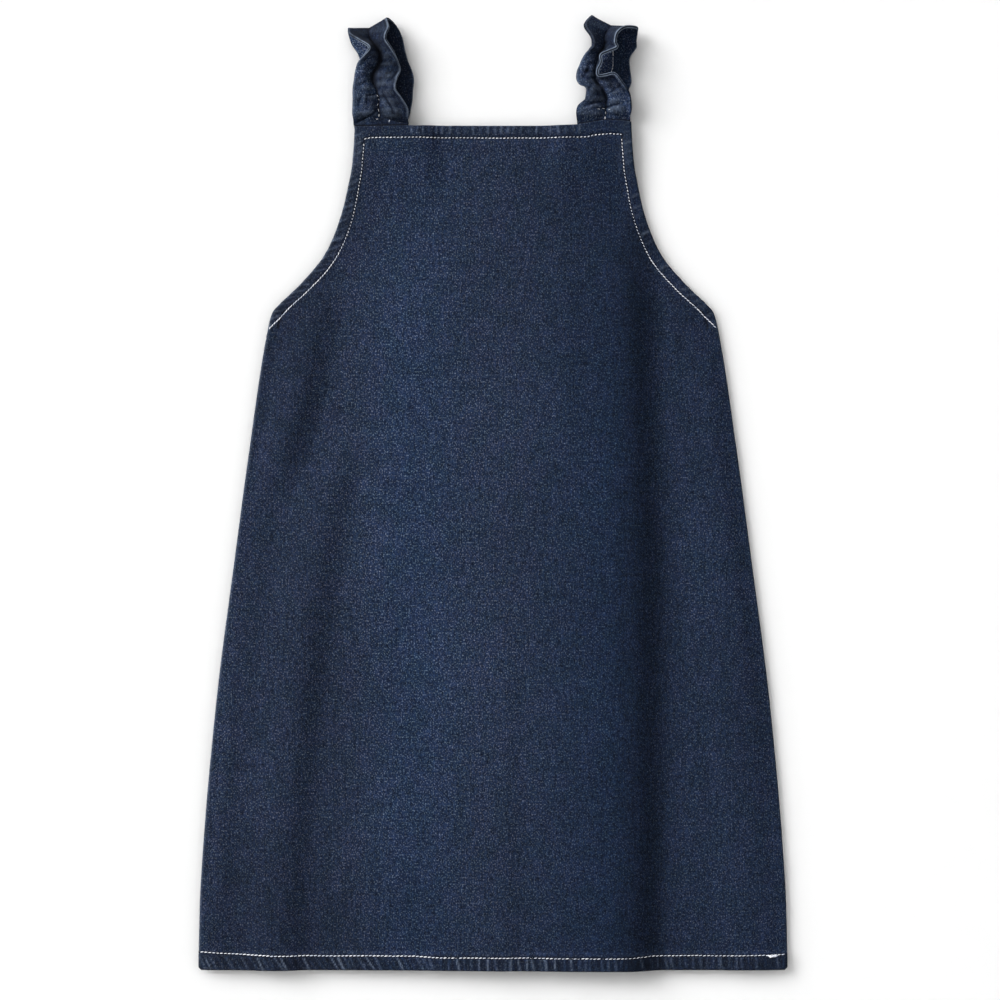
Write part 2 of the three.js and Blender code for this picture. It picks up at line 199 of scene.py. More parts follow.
# The bib is lifted over the ends of the straps, which lie between it and the back panel.
SEAT_LIFT = 3.8
SEAT_INNER = (34, 53)
SEAT_UP = (558, 612)
CORNER_RISE = curve_through([(-103, -1), (-60, -0.3), (-34, 0), (40, 0), (60, 0.4), (76, 2.9),
                             (83, 3.8), (92, 3.5), (103, 2.6)])
SIDE_HOLD = 16  # the ridges die out this far from the side seams


def seat_share(x, up):
    return smooth(*SEAT_INNER, np.abs(x)) * smooth(*SEAT_UP, up)


def corner_rise(x, up):
    """The bib's corners are pulled up or down by their straps."""
    return CORNER_RISE(np.clip(x, -103, 103)) * smooth(*SEAT_UP, up)


def soft_noise(x, y, size, seed):
    """Uneven cloth: random heights from -1 to 1 on a grid of that size, blended softly."""
    grid = np.random.default_rng(seed).uniform(-1, 1, (97, 97))
    u, v = np.mod(x / size + 48, 96), np.mod(y / size + 48, 96)
    i, j = u.astype(int), v.astype(int)
    s, t = smooth(0, 1, u - i), smooth(0, 1, v - j)
    low = grid[i, j] * (1 - s) + grid[i + 1, j] * s
    high = grid[i, j + 1] * (1 - s) + grid[i + 1, j + 1] * s
    return low * (1 - t) + high * t


UNEVEN = ((46, 0.3, 3), (17, 0.12, 4), (7, 0.045, 5))  # size, height and seed of each unevenness


def drape(x, up):
    """How far the front lies above its flat rest on the back."""
    hold = smooth(0, SIDE_HOLD, half_width(up) - np.abs(x))
    folds = sum(ridge_height(ridge, x, up) for ridge in named(RIDGES + SMALL_FOLDS))
    uneven = sum(height * (1 + soft_noise(x, up, size, seed)) for size, height, seed in UNEVEN)
    return np.maximum(0, folds + uneven) * hold + SEAT_LIFT * seat_share(x, up)


print(f"highest drape {drape(np.linspace(-200, 200, 401), 250.0).max():.1f} mm at 250 mm up")

# %% [markdown]
# Turned edges, stitch lines and puckers. The neck and armhole edges are turned in over a facing and
# topstitched, and the hem is folded twice. The thread holds the layers down in a shallow groove, and
# washing shrinks them unevenly, so the edge ropes: small slanting puckers, worn pale on their crests.
# A bump map would do from far away, but here they are in the mesh, so that they show at the edge too.

# %% Edge bands and stitch lines
CLOTH = 1.2  # one layer of denim
TURNED_EDGE = 1.9
HEM_FOLD = 2.4
SEAM_GAP = 0.3
BACK_INSET = 0.8
EDGE_BAND = 7.2  # from the neck's edge to its topstitching
ARM_BAND = curve_through([(450, 7.2), (500, 7.4), (523, 8.5), (552, 8.8), (581, 7.9), (606, 7.5), (640, 7.4)])
BAND_FADE = 3
HEM_LINE = curve_through([(-217, 13.1), (-195, 12.2), (-160, 10.9), (-60, 10.7), (-40, 9.9),
                          (100, 9.8), (120, 10.8), (190, 10.9), (217, 11.6)])
NECK_LINE = curve_through([(-97, 612.2), (-91, 614), (-84, 614.5), (68, 614.5), (75, 616.2),
                           (87, 617.1), (97, 616.2)])
LINE_CORNERS = (-95.2, 95.8)  # where the neck's stitching turns down the armholes
GROOVE_DEPTH = 0.42
GROOVE_WIDTH = 0.95


def depth_in_band(up, inset, top):
    """1 inside the turned edge or the hem, 0 past the fade."""
    def band(depth, away):
        return 1 - smooth(depth, depth + BAND_FADE, away)

    turned = np.maximum(band(EDGE_BAND, top - up), np.where(up > UNDERARM, band(ARM_BAND(up), inset), 0))
    return turned, band(11, up)


def cloth_thickness(up, inset, top):
    turned, hem = depth_in_band(up, inset, top)
    return CLOTH + (TURNED_EDGE - CLOTH) * turned + (HEM_FOLD - CLOTH) * hem


def groove(distance):
    return np.exp(-((distance / GROOVE_WIDTH) ** 2))


def stitch_grooves(x, y_up, inset):
    """How deep in a stitch line's groove a point is, from 0 to 1. y_up is its true height."""
    hem = groove(y_up - HEM_LINE(x))
    between = (x > LINE_CORNERS[0] - 1) & (x < LINE_CORNERS[1] + 1)
    neck = np.where(between, groove(y_up - NECK_LINE(x)), 0)
    below = y_up < NECK_LINE(x) + 1
    armhole = np.where(below & (y_up > UNDERARM - 12), groove(inset - ARM_BAND(y_up)), 0)
    return np.maximum(np.maximum(hem, neck), armhole)


# %% Broad tone, with painted shade
# Tone across the width. It is wash, except for the dip beside the tall roll's steep right side, from about 84
# to 133 mm, which is painted shade.
WASH_AND_SHADE = curve_through([(-217, 1.05), (-165, 0.92), (-135, 0.93), (-105, 1.06), (-75, 1.17), (-35, 1.15),
                      (20, 1.05), (60, 0.94), (84, 0.84), (91, 0.76), (98, 0.64), (106, 0.62), (113, 0.62),
                      (121, 0.67), (133, 0.85), (145, 0.95), (217, 0.92)])
COOL = curve_through([(-217, -0.1), (-110, 0), (-88, 0.35), (-62, 0.75), (-40, 0.6), (-14, 0.2), (12, 0.15),
                      (40, 0.45), (66, 0.75), (88, 1.05), (104, 0.85), (125, 0.35), (217, 0.35)])
SHADE_BAND_START = 84  # the dark band fades out towards the bib, which keeps this place's tone
SHADE_BAND_SHIFT = 10  # the dark band's right side keeps this much further left above the dress's middle


def wash_and_painted_shade(x, up):
    """The cloth is palest where the body of the dress rubs, and darker towards the bib and the hem. The band
    beside the tall roll is painted shade, and the falloff is painted light, lighter to the upper left.
    """
    upper = smooth(380, 600, up)
    side = np.where(x < 0, smooth(-120, -150, x), 0.7 * smooth(125, 140, x)) * smooth(330, 400, up)
    above_hem = smooth(130, 20, up) * smooth(120, 60, x)
    # A painted falloff: lighter towards the left and the top, where the light comes from.
    painted_falloff = 1.02 - 0.0003 * x + 0.0002 * (up - 312)
    shade_band_x = x + SHADE_BAND_SHIFT * smooth(290, 420, up) * smooth(98, 112, x)
    shade_band_x = np.where(x > SHADE_BAND_START, SHADE_BAND_START + (shade_band_x - SHADE_BAND_START) * smooth(570, 525, up), x)
    return WASH_AND_SHADE(shade_band_x) * (1 - 0.15 * upper) * (1 - 0.16 * side) * (1 - 0.12 * above_hem) * painted_falloff


def cool_cast(x, up):
    """Where the wash has left a greener blue, in two broad streaks down the cloth."""
    return COOL(x) * (1 - 0.4 * smooth(420, 560, up))


# %% Puckers
ARM_STEPS = np.linspace(UNDERARM - 15, BIB_TOP, 400)
ARM_LENGTHS = np.concatenate([[0], np.cumsum(np.diff(ARM_STEPS) * edge_lean(ARM_STEPS[1:]))])


def along_armhole(up):
    return np.interp(up, ARM_STEPS, ARM_LENGTHS)


def place_puckers(seed, start, stop, pitch, height, lean):
    """Puckers along a band: where each is, its height, its half-width and how it slants."""
    rng = np.random.default_rng(seed)
    rows = []
    at = start
    while at < stop:
        lean_here = lean(at) + rng.uniform(-0.15, 0.15)
        rows.append((at, rng.uniform(*height), rng.uniform(0.6, 1.25), lean_here))
        at += rng.uniform(*pitch)
    return rows


def pucker_relief(rows, along, depth, band):
    """The puckers' height at a place along the band and a depth in from its edge."""
    held = 1 - 0.75 * np.exp(-(((depth - band) / 1.4) ** 2))
    reach = (1 - smooth(band, band + 7, depth)) * (0.45 + 0.55 * smooth(band + 1, band - 1, depth))
    relief = np.zeros(np.shape(along))
    for at, height, width, lean in rows:
        away = along - at + lean * (depth - band / 2)
        relief = relief + height * np.exp(-((away / width) ** 2))
    return relief * held * reach


def worn_streaks(puckers, height, power):
    """Only the tops of the puckers are rubbed pale, in streaks that are thinner with a higher power."""
    return np.clip(puckers / height, 0, 1) ** power


HEM_PUCKERS = place_puckers(11, -214, 216, (3.6, 7.4), (0.16, 0.55), lambda s: 0.5 * (s < -40) + 0.1)
NECK_PUCKERS = place_puckers(12, -60, 64, (3.8, 6.2), (0.14, 0.4), lambda s: 0.0)
ARM_PUCKERS = {
    -1: place_puckers(13, 6, along_armhole(BIB_TOP), (5, 8.5), (0.12, 0.36), lambda s: -0.45),
    1: place_puckers(14, 6, along_armhole(BIB_TOP), (5, 8.5), (0.12, 0.36), lambda s: 0.45),
}


def all_puckers(x, up, inset, top):
    hem = np.where(up < 24, pucker_relief(HEM_PUCKERS, x, up, 11), 0)
    near_top = up > top - 20
    neck = np.where(near_top, pucker_relief(NECK_PUCKERS, x, top - up, EDGE_BAND), 0)
    near_arm = (up > UNDERARM - 14) & (inset < 20)
    arms = np.zeros(np.shape(x))
    for side, rows in ARM_PUCKERS.items():
        relief = pucker_relief(rows, along_armhole(up), np.minimum(inset, 30), ARM_BAND(up))
        arms = np.where(near_arm & (np.sign(x) == side), relief, arms)
    return hem + np.maximum(neck, arms)


print(len(HEM_PUCKERS), "hem puckers,", len(NECK_PUCKERS), "neck puckers")

# %% [markdown]
# A wall of cloth as one mesh. A panel needs small faces on the side that shows and at the hem, and
# only large ones inside. Rows of points may therefore have different numbers of points: two rows with
# the same number are joined by quads, and any others are zipped together with triangles, as the
# panel's rim is. A Solidify modifier would copy all the fine faces to the hidden side.

# %% Meshes from rows of points
def zip_rows(first, second, where_first, where_second):
    """Triangles between two rows of point numbers. The second row is above the first."""
    faces = []
    i, j = 0, 0
    while i < len(first) - 1 or j < len(second) - 1:
        first_left = i < len(first) - 1
        if first_left and (j == len(second) - 1 or where_first[i + 1] <= where_second[j + 1]):
            faces.append((first[i], first[i + 1], second[j]))
            i += 1
        else:
            faces.append((first[i], second[j + 1], second[j]))
            j += 1
    return faces


def run_share(points):
    """How far along a row of points each one is, from 0 to 1."""
    steps = np.linalg.norm(np.diff(points, axis=0), axis=1)
    run = np.concatenate([[0], np.cumsum(steps)])
    return run / run[-1]


def row_faces(rows, points, turned):
    """Faces between neighbouring rows of point numbers. turned flips them to face down."""
    faces = []
    for low, high in zip(rows[:-1], rows[1:]):
        if len(low) == len(high):
            quads = zip(low[:-1], low[1:], high[1:], high[:-1])
            faces.extend(quads)
        else:
            faces.extend(zip_rows(low, high, run_share(points[low]), run_share(points[high])))
    return [face[::-1] for face in faces] if turned else faces


def boundary(rows):
    """The four sides of a sheet of rows, each anticlockwise as seen from above."""
    left = [row[0] for row in rows]
    right = [row[-1] for row in rows]
    return [list(rows[0]), right, list(rows[-1])[::-1], left[::-1]]


def number_rows(sizes, start=0):
    rows = []
    for size in sizes:
        rows.append(list(range(start, start + size)))
        start += size
    return rows


def new_piece(name, points, faces, marks):
    """A smooth mesh in metres from millimetre points, with a value for each point in each mark."""
    mesh = bpy.data.meshes.new(name)
    mesh.from_pydata((np.asarray(points) * MM).tolist(), [], faces)
    mesh.shade_smooth()
    for mark, values in marks.items():
        values = np.asarray(values, np.float32)
        kind = "FLOAT" if values.ndim == 1 else "FLOAT_VECTOR"
        field = "value" if values.ndim == 1 else "vector"
        attribute = mesh.attributes.new(mark, kind, "POINT")
        attribute.data.foreach_set(field, values.ravel())
    mesh.update()
    piece = bpy.data.objects.new(name, mesh)
    bpy.context.scene.collection.objects.link(piece)
    return piece


def cloth_wall(name, upper, lower):
    """A closed wall between an upper and a lower sheet of rows, each with its points and marks."""
    points = np.concatenate([upper["points"], lower["points"]])
    upper_rows = number_rows(upper["sizes"])
    lower_rows = number_rows(lower["sizes"], len(upper["points"]))
    faces = row_faces(upper_rows, points, False) + row_faces(lower_rows, points, True)
    for over, under in zip(boundary(upper_rows), boundary(lower_rows)):
        faces.extend(zip_rows(under, over, run_share(points[under]), run_share(points[over])))
    marks = {key: np.concatenate([upper["marks"][key], lower["marks"][key]]) for key in upper["marks"]}
    piece = new_piece(name, points, faces, marks)
    triangles = sum(len(face) - 2 for face in faces)
    print(f"{name}: {len(points)} points, {triangles} triangles")
    return piece


# %% [markdown]
# The grid of a panel. Columns keep their distance from the slanting edge, so that the rounding and
# the stitch groove follow the armhole, and the rest fan out evenly. Rows lie closer where the edge
# bends, and the hem's strip has twice the columns, for its puckers.

# %% Panel grids
EDGE_INSETS = np.array([0, 0.25, 0.6, 1.1, 1.8, 2.8, 4, 5.2, 6.2, 6.8, 7.4, 8.2, 9.4, 11, 13])


def spaced(*stretches):
    """Row heights through stretches of (start, stop, step), with no height twice."""
    parts = [np.linspace(a, b, max(1, round((b - a) / step)), endpoint=False) for a, b, step in stretches]
    return np.concatenate([*parts, [stretches[-1][1]]])


def panel_grid(heights, middle_columns, outset=0.0):
    """x, up and inset of every point of a panel's sheet, and the number of points in each row."""
    xs, ups, insets, sizes = [], [], [], []
    for up, columns in zip(heights, middle_columns):
        half, lean = half_width(up) - outset, edge_lean(up)
        edge = half - EDGE_INSETS * lean
        middle = np.linspace(-edge[-1], edge[-1], columns + 2)[1:-1]
        xs.append(np.concatenate([-edge, middle, edge[::-1]]))
        middle_inset = (half - np.abs(middle)) / lean
        insets.append(np.concatenate([EDGE_INSETS, middle_inset, EDGE_INSETS[::-1]]))
        ups.append(np.full(len(xs[-1]), up))
        sizes.append(len(xs[-1]))
    return np.concatenate(xs), np.concatenate(ups), np.concatenate(insets), sizes


def edge_fall(up, inset, top, low=0.0):
    """1 at a panel's edge, 0 past its rounding, and a quarter of an ellipse between."""
    side_round = np.where(up > UNDERARM, 1.3, 2.4)
    near = np.minimum(np.minimum(inset / side_round, (up - low) / 1.3), (top - up) / 1.3)
    near = np.clip(near, 0, 1)
    return 1 - np.sqrt(1 - (1 - near) ** 2)


# %% [markdown]
# The front panel. Its inner side rests 0.3 mm above the back and follows the folds, and its outer
# side adds the cloth, the puckers and the grooves. Two marks are kept for the denim: "wear_and_highlight"
# where the cloth stands up and has rubbed pale, with a painted highlight down the left edge, and "dark"
# for the darker dye of the hem and turned bands and for painted shade in the stitch grooves and
# between the puckers.

# %% Front panel
FRONT_HEIGHTS = spaced((0, 1.2, 0.3), (1.2, 18, 0.85), (18, 30, 1.6), (30, 470, 3), (470, 600, 1.25),
                       (600, 622.1, 0.85), (622.1, BIB_TOP, 0.3))
FRONT_COLUMNS = np.where(FRONT_HEIGHTS < 17.5, 380, 190)


def front_inner(x, up):
    hem = 1 - smooth(11, 11 + BAND_FADE, up)
    return CLOTH + (HEM_FOLD - CLOTH) * hem + SEAM_GAP + drape(x, up)


def front_outer(x, up, inset):
    """The outer side's height, with its wear and painted highlight, and its darker dye and painted shade."""
    y_up = up + corner_rise(x, up)
    thickness = cloth_thickness(up, inset, BIB_TOP)
    puckers = all_puckers(x, up, inset, BIB_TOP)
    grooves = stitch_grooves(x, y_up, inset)
    fall = edge_fall(up, inset, BIB_TOP)
    height = front_inner(x, up) + thickness * (1 - 0.5 * fall)
    height = height + (puckers - GROOVE_DEPTH * grooves) * (1 - 0.6 * fall)
    # Painted highlight: a pale line down the left edge, the side the light comes from.
    lit_left_edge = np.where(x < 0, 0.16 * smooth(2.2, 0.4, inset), 0)
    at_hem = up < 24
    streak_wear = np.where(x < 60, 0.56, 0.2) * worn_streaks(puckers, 0.5, 3.2)
    streak_wear = np.where(at_hem, streak_wear, 0.24 * worn_streaks(puckers, 0.34, 1.8))
    corner = np.exp(-(((np.abs(x) - 98) / 5) ** 2) - ((up - 603) / 13) ** 2)
    at_strap = smooth(60, 66, np.abs(x)) * smooth(605, 615, up)
    wear_and_highlight = streak_wear + 0.12 * fall * (1 - at_strap) + lit_left_edge + 0.07 * corner
    # The dark mark: darker dye in the hem and turned bands, kept only between the puckers, and darker stitch
    # grooves. It is partly dye and needle holes, and partly painted shade in these recesses.
    turned, hem = depth_in_band(up, inset, BIB_TOP)
    turned_dark = np.where(x < 60, 0.5, 0.24) * turned * (1 - corner)
    low = np.maximum(0.62 * hem, turned_dark) * smooth(0.2, 0.02, puckers)
    return height, np.clip(wear_and_highlight, 0, 1), np.maximum(grooves, low)


def sheet_rows(x, up, z, sizes, wear_and_highlight, dark, tone):
    points = np.column_stack([x, frame_y(up + corner_rise(x, up)), z])
    weave = np.column_stack([x, up, np.zeros(len(x))])
    marks = {"wear_and_highlight": wear_and_highlight, "dark": dark, "tone": tone, "cool": cool_cast(x, up), "weave": weave}
    return {"points": points, "sizes": sizes, "marks": marks}


x, up, inset, sizes = panel_grid(FRONT_HEIGHTS, FRONT_COLUMNS)
z, wear_and_highlight, dark = front_outer(x, up, inset)
front_upper = sheet_rows(x, up, z, sizes, wear_and_highlight, dark, wash_and_painted_shade(x, up))
LINING_HEIGHTS = spaced((0, 30, 3), (30, BIB_TOP, 9))
x, up, inset, sizes = panel_grid(LINING_HEIGHTS, np.full(len(LINING_HEIGHTS), 60))
z = front_inner(x, up) + 0.3 * CLOTH * edge_fall(up, inset, BIB_TOP)
front_lower = sheet_rows(x, up, z, sizes, np.zeros(len(x)), np.zeros(len(x)), np.full(len(x), 0.2))
front = cloth_wall("front_denim", front_upper, front_lower)

# %% [markdown]
# The back panel. It lies face down, so its good side is underneath, flat where it rests. It gets the
# same bands, grooves and puckers there as the front, pressed flat by its own weight. Its inner side
# shows only in the mouth of the hem.

# %% Back panel
BACK_HEIGHTS = spaced((BACK_INSET, 18, 1.1), (18, 470, 5), (470, 600, 2.2), (600, BACK_TOP, 1.1))
BACK_COLUMNS = np.where(BACK_HEIGHTS < 17.5, 230, 110)
BACK_REST = 0.45  # the cloth between the thicker edges is held this far off the surface


def back_under(x, up, inset):
    """The good side's height above the surface, facing down."""
    turned, hem = depth_in_band(up, inset, BACK_TOP)
    press = np.maximum(turned, hem)
    puckers = all_puckers(-x, up, inset, BACK_TOP)
    grooves = stitch_grooves(-x, up, inset)
    fall = edge_fall(up, inset, BACK_TOP, BACK_INSET)
    uneven = 0.1 * soft_noise(x, up, 24, 21) * (1 - press)
    height = BACK_REST * (1 - 0.55 * press) + uneven - 0.45 * puckers + 0.35 * grooves + 0.4 * fall
    wear_and_highlight = np.clip(puckers / 0.42, 0, 1) * 0.75 + 0.35 * fall
    return np.maximum(height, 0.02), np.clip(wear_and_highlight, 0, 1), grooves


x, up, inset, sizes = panel_grid(BACK_HEIGHTS, BACK_COLUMNS, BACK_INSET)
z, wear_and_highlight, dark = back_under(x, up, inset)
back_lower = sheet_rows(x, up, z, sizes, wear_and_highlight, dark, wash_and_painted_shade(-x, up))
back_lower["points"][:, 1] = frame_y(up)
BACK_INNER_HEIGHTS = spaced((BACK_INSET, 30, 3), (30, BACK_TOP, 9))
x, up, inset, sizes = panel_grid(BACK_INNER_HEIGHTS, np.full(len(BACK_INNER_HEIGHTS), 60), BACK_INSET)
hem = 1 - smooth(11, 11 + BAND_FADE, up)
z = CLOTH + (HEM_FOLD - CLOTH) * hem - 0.35 * CLOTH * edge_fall(up, inset, BACK_TOP, BACK_INSET)
back_upper = sheet_rows(x, up, z, sizes, np.zeros(len(x)), np.zeros(len(x)), np.full(len(x), 0.2))
back_upper["points"][:, 1] = frame_y(up)
back = cloth_wall("back_denim", back_upper, back_lower)

# %% [markdown]
# The ruffle straps. Each is a band of doubled denim, drawn in along its middle by one row of
# stitching, so that both halves stand up in waves. A cloth simulation could gather it, but its waves
# would fall where they like. Here a table gives a section across the strap at each wave: the left
# edge, the seam and the right edge, each with how far across, how far up and how high. The rows run
# from inside the bib, up the front, over the top and down the back.

# %% Strap sections
STRAP_CENTRE = 83
LEFT_STRAP = [
    (-18.5, -8, 4.2, 0.5, -8, 4.2, 20.5, -8, 4.2),
    (-19.8, 0, 4.2, 0, 0, 4.2, 20.5, 0, 4.2),
    (-20.2, 2.5, 4.3, -0.5, 2.5, 4, 20.4, 2.5, 4.4),
    (-20.4, 8, 6, -1, 8, 3.6, 20, 8, 7),
    (-20.2, 14, 7, -1.5, 14, 3.4, 19.2, 14, 9),
    (-20, 21, 7.5, -1.5, 21, 3.4, 15, 21, 11),
    (-20, 28, 7.5, -3, 27, 3.5, 10.5, 28, 13),
    (-19, 34.5, 8, -6, 34.5, 3.7, 11.5, 35.5, 12),
    (-18, 41, 8.5, -4.5, 41, 4, 14, 41.5, 9),
    (-16, 48, 11, -1, 47.5, 4.2, 12, 49, 11),
    (-11, 54, 15.5, -1, 54, 4.8, 8, 57, 14),
    (-8.5, 59, 17, -4, 59.5, 5.6, 3.5, 64, 16),
    (-16, 64, 14, -7.5, 64.5, 6.6, 3.5, 68.5, 16),
    (-23, 68.5, 10, -9, 69, 7.4, 5.5, 73.5, 14),
    (-23.5, 72, 5.6, -8.5, 72, 5.2, 4.2, 79.5, 8.5),
    (-23.5, 69, 1.8, -8, 70.5, 2.2, 9.5, 76, 2.6),
    (-21, 61, 1.2, -5, 62, 1, 14.8, 67, 2.2),
    (-16.5, 54, 1.6, -2, 54, 0.9, 17.3, 56, 3),
    (-14.5, 47.5, 1, 0, 47.5, 0.9, 19.4, 48.5, 1.6),
    (-15, 40, 0.9, 2, 40, 0.9, 22.8, 40, 2.6),
    (-15.5, 33, 0.9, 3, 33, 0.9, 23.8, 34, 3.4),
    (-16, 26, 0.9, 3, 26, 0.9, 23.2, 27, 2.2),
    (-16.5, 18, 0.9, 3, 18, 0.9, 22.6, 18.5, 1.4),
    (-17, 9, 0.9, 2.5, 9, 0.9, 21, 9.5, 1),
    (-17, 2, 0.9, 2, 2, 0.9, 20, 2, 0.9),
    (-17, -3, 2.3, 2, -3, 2.3, 20, -3, 2.3),
    (-17, -10, 2.3, 2, -10, 2.3, 20, -10, 2.3),
]
RIGHT_STRAP = [
    (-19, -7, 4.2, 0, -5, 4.2, 18, -4, 4.2),
    (-20.5, 1, 4.2, 0.5, 3, 4.2, 18.6, 4.5, 4.2),
    (-20.7, 3.5, 4.3, 0.5, 5.5, 4, 18.4, 6.5, 4.4),
    (-20.6, 9.5, 6.5, 0.5, 9.5, 3.6, 18.7, 12, 6.5),
    (-19.2, 15.5, 7.5, 0.5, 15.5, 3.4, 18.2, 20, 8),
    (-13.5, 21, 9.5, 1, 21.5, 3.4, 16.6, 25.5, 9.5),
    (-13.5, 28.5, 10, -2, 28, 3.5, 12, 32.5, 12.5),
    (-18.5, 31.5, 9, -5, 32, 3.7, 6.5, 38.5, 14.5),
    (-20.5, 35.5, 8, -6.5, 36, 4, -0.5, 37.5, 16.5),
    (-20, 40.5, 7.5, -6.5, 40, 4, -5, 37.5, 17.5),
    (-18, 45.5, 8, -6, 44, 4.2, -5.5, 41.5, 18),
    (-16, 50, 9, -5, 48.5, 4.4, -3, 47, 17.5),
    (-13, 55, 11, -4, 53, 4.6, -3, 52.5, 17.5),
    (-9, 59.5, 14, -1.5, 57.5, 5, 2.5, 55.5, 17),
    (-8.5, 62.5, 15.5, -0.5, 61, 5.4, 8.5, 58.5, 16.5),
    (-10.5, 67.5, 15.5, -0.5, 64.5, 6, 7.5, 63, 17),
    (-14.6, 73.5, 14, 0.5, 68, 6.8, 9, 69.5, 16.5),
    (-14, 77.5, 11.5, 2.5, 71.6, 6.8, 15, 73.6, 14),
    (-9.8, 81.2, 7, 4, 74, 4.8, 23, 73, 8.5),
    (-10, 77, 2.4, 4.5, 71, 2.6, 23.4, 69.5, 3.4),
    (-9.5, 67, 1.2, 5.4, 63, 1, 22.6, 63.5, 1.8),
    (-9.5, 58, 0.9, 5.8, 56.5, 0.9, 22.4, 58, 2.8),
    (-12, 50.5, 0.9, 5.8, 50, 0.9, 17.6, 50.5, 1.4),
    (-14.4, 43, 0.9, 5.4, 43, 0.9, 17.7, 42.5, 1.4),
    (-13.8, 34.5, 0.9, 2.5, 34.5, 0.9, 18.8, 33, 2.8),
    (-13.4, 25.5, 0.9, 1.5, 25.5, 0.9, 16.4, 25.5, 1.6),
    (-15, 16.5, 0.9, 1, 16.5, 0.9, 16.8, 17, 1),
    (-16.4, 9, 0.9, 0.5, 9, 0.9, 17.2, 9.5, 0.9),
    (-16.6, 2, 0.9, 0.5, 2, 0.9, 17.4, 2, 0.9),
    (-17, -3, 2.3, 0.5, -3, 2.3, 18, -3, 2.3),
    (-17, -10, 2.3, 0.5, -10, 2.3, 18, -10, 2.3),
]
SECTIONS_A_ROW = 11


def draw_out(table, sections_a_row):
    """A Catmull-Rom curve through each column of a table, with its ends held."""
    rows = np.array(table, float)
    count = (len(rows) - 1) * sections_a_row
    at = np.arange(count + 1) / sections_a_row
    row = np.minimum(at.astype(int), len(rows) - 2)
    t = (at - row)[:, None]
    a, b, c, d = (rows[np.clip(row + step, 0, len(rows) - 1)] for step in (-1, 0, 1, 2))
    near = 2 * b + (c - a) * t + (2 * a - 5 * b + 4 * c - d) * t**2
    return 0.5 * (near + (3 * b - a - 3 * c + d) * t**3)


def strap_lines(table, centre_x):
    """The left edge, the seam and the right edge of a strap, as rows of points in the frame."""
    drawn = draw_out(table, SECTIONS_A_ROW)
    lines = []
    for first in (0, 3, 6):
        across, up_here, z_here = drawn[:, first : first + 3].T
        seen_x, seen_y = across + centre_x, frame_y(BIB_TOP + up_here)
        nearer = 1 - z_here / camera_height
        true_x = PICTURE_CENTRE[0] + (seen_x - PICTURE_CENTRE[0]) * nearer
        true_y = PICTURE_CENTRE[1] + (seen_y - PICTURE_CENTRE[1]) * nearer
        lines.append(np.column_stack([true_x, true_y, z_here]))
    return lines


print(len(draw_out(LEFT_STRAP, SECTIONS_A_ROW)), "sections in the left strap")

# %% [markdown]
# The form of a ruffle. From the seam the cloth climbs steeply out of the gathers, then arches over to
# its edge. Small pleats start at the seam and die out across the ruffle, and a few sharper creases
# cross the front where the strap is pulled. Each crease runs between two points (across, up) with a
# depth and a half-width.

# %% Ruffle form
RUFFLE_COLUMNS = 30
RUFFLE_PUFF = 2.2
GATHER_PITCH = 6.5
CURL_FROM = 0.82  # the last part of a right ruffle, which turns up to show its doubled edge
FLAT_Z = 3.0
ARCH_FROM = (3.5, 10)
ARCH_ENDS = (66, 50)
CREASE_COLUMNS = ("start", "end", "depth", "half_width")
LEFT_CREASES = [
    ((-19, 1), (-2.5, 10.5), 1.3, 1.1),
    ((0, 8), (9, 3.5), 1.2, 0.9),
    ((9, 3.5), (20, 1.5), 0.9, 0.9),
    ((-10, 21), (-2, 23), 1.2, 0.9),
    ((-9.5, 12), (-10, 20), 0.7, 1.1),
    ((2, 24), (10, 9), 1.1, 1.2),
    ((-10, 40), (-5, 43), 1.4, 1.0),
    ((-15, 29), (-9, 33), 0.7, 1.4),
    ((6, 31), (12, 36), 0.7, 1.5),
    ((-16, 14), (-13, 24), 0.5, 1.6),
]
RIGHT_CREASES = [
    ((-9, 12.5), (0, 13), 1.0, 1.0),
    ((0, 13), (13, 15.5), 1.2, 1.0),
    ((-15, 13.5), (-5, 17.5), 0.9, 1.1),
    ((1, 22), (13, 30), 1.1, 1.1),
    ((-15, 36), (-12, 44), 1.3, 1.8),
    ((-9, 34), (-4, 27), 1.2, 1.2),
    ((-4, 27), (1, 18), 1.2, 1.1),
    ((4, 8), (12, 7), 0.6, 0.9),
    ((-14, 24), (-10, 29), 0.7, 1.3),
]

# The heights of the curled edge and of the gathers, and the edge's half-thickness. Tones down the
# front are for a height above the bib, the left ruffle and the right one. "inner" is the face that
# shows past the turn. The tones are partly wash and partly painted light and shade: they darken
# towards the top, which is painted shade on the left flap, and the left half of the inner face is
# brightened with painted light. "inner_painted_shade" darkens the right half of the inner face with
# painted shade, and "valley" is the strength of the painted shade along the seam. A rim is worn on
# its left and right, from a height above the bib upwards.
LEFT_LOOK = {
    "seed": 31,
    "curl": 0.6,
    "gathers": 0.35,
    "edge_half": 0.95,
    "front": [(0, 0.8, 0.62), (25, 1.06, 0.56), (48, 1.3, 0.58), (60, 0.42, 0.58), (80, 0.34, 0.38)],
    "inner": (2.1, 0.98),
    "inner_painted_shade": 0.6,
    "rim_worn": (1.0, 0.75),
    "rim_foot": (2, 10),
    "valley": 1.0,
}
RIGHT_LOOK = {
    "seed": 32,
    "curl": 2.2,
    "gathers": 0.6,
    "edge_half": 1.1,
    "front": [(0, 1.1, 1.1), (15, 1.0, 1.15), (25, 0.6, 1.12), (44, 1.3, 0.78), (60, 0.75, 0.46),
              (80, 0.56, 0.32)],
    "inner": (1.6, 1.0),
    "inner_painted_shade": 0.2,
    "rim_worn": (0.15, 0.86),
    "rim_foot": (20, 34),
    "valley": 0.62,
}


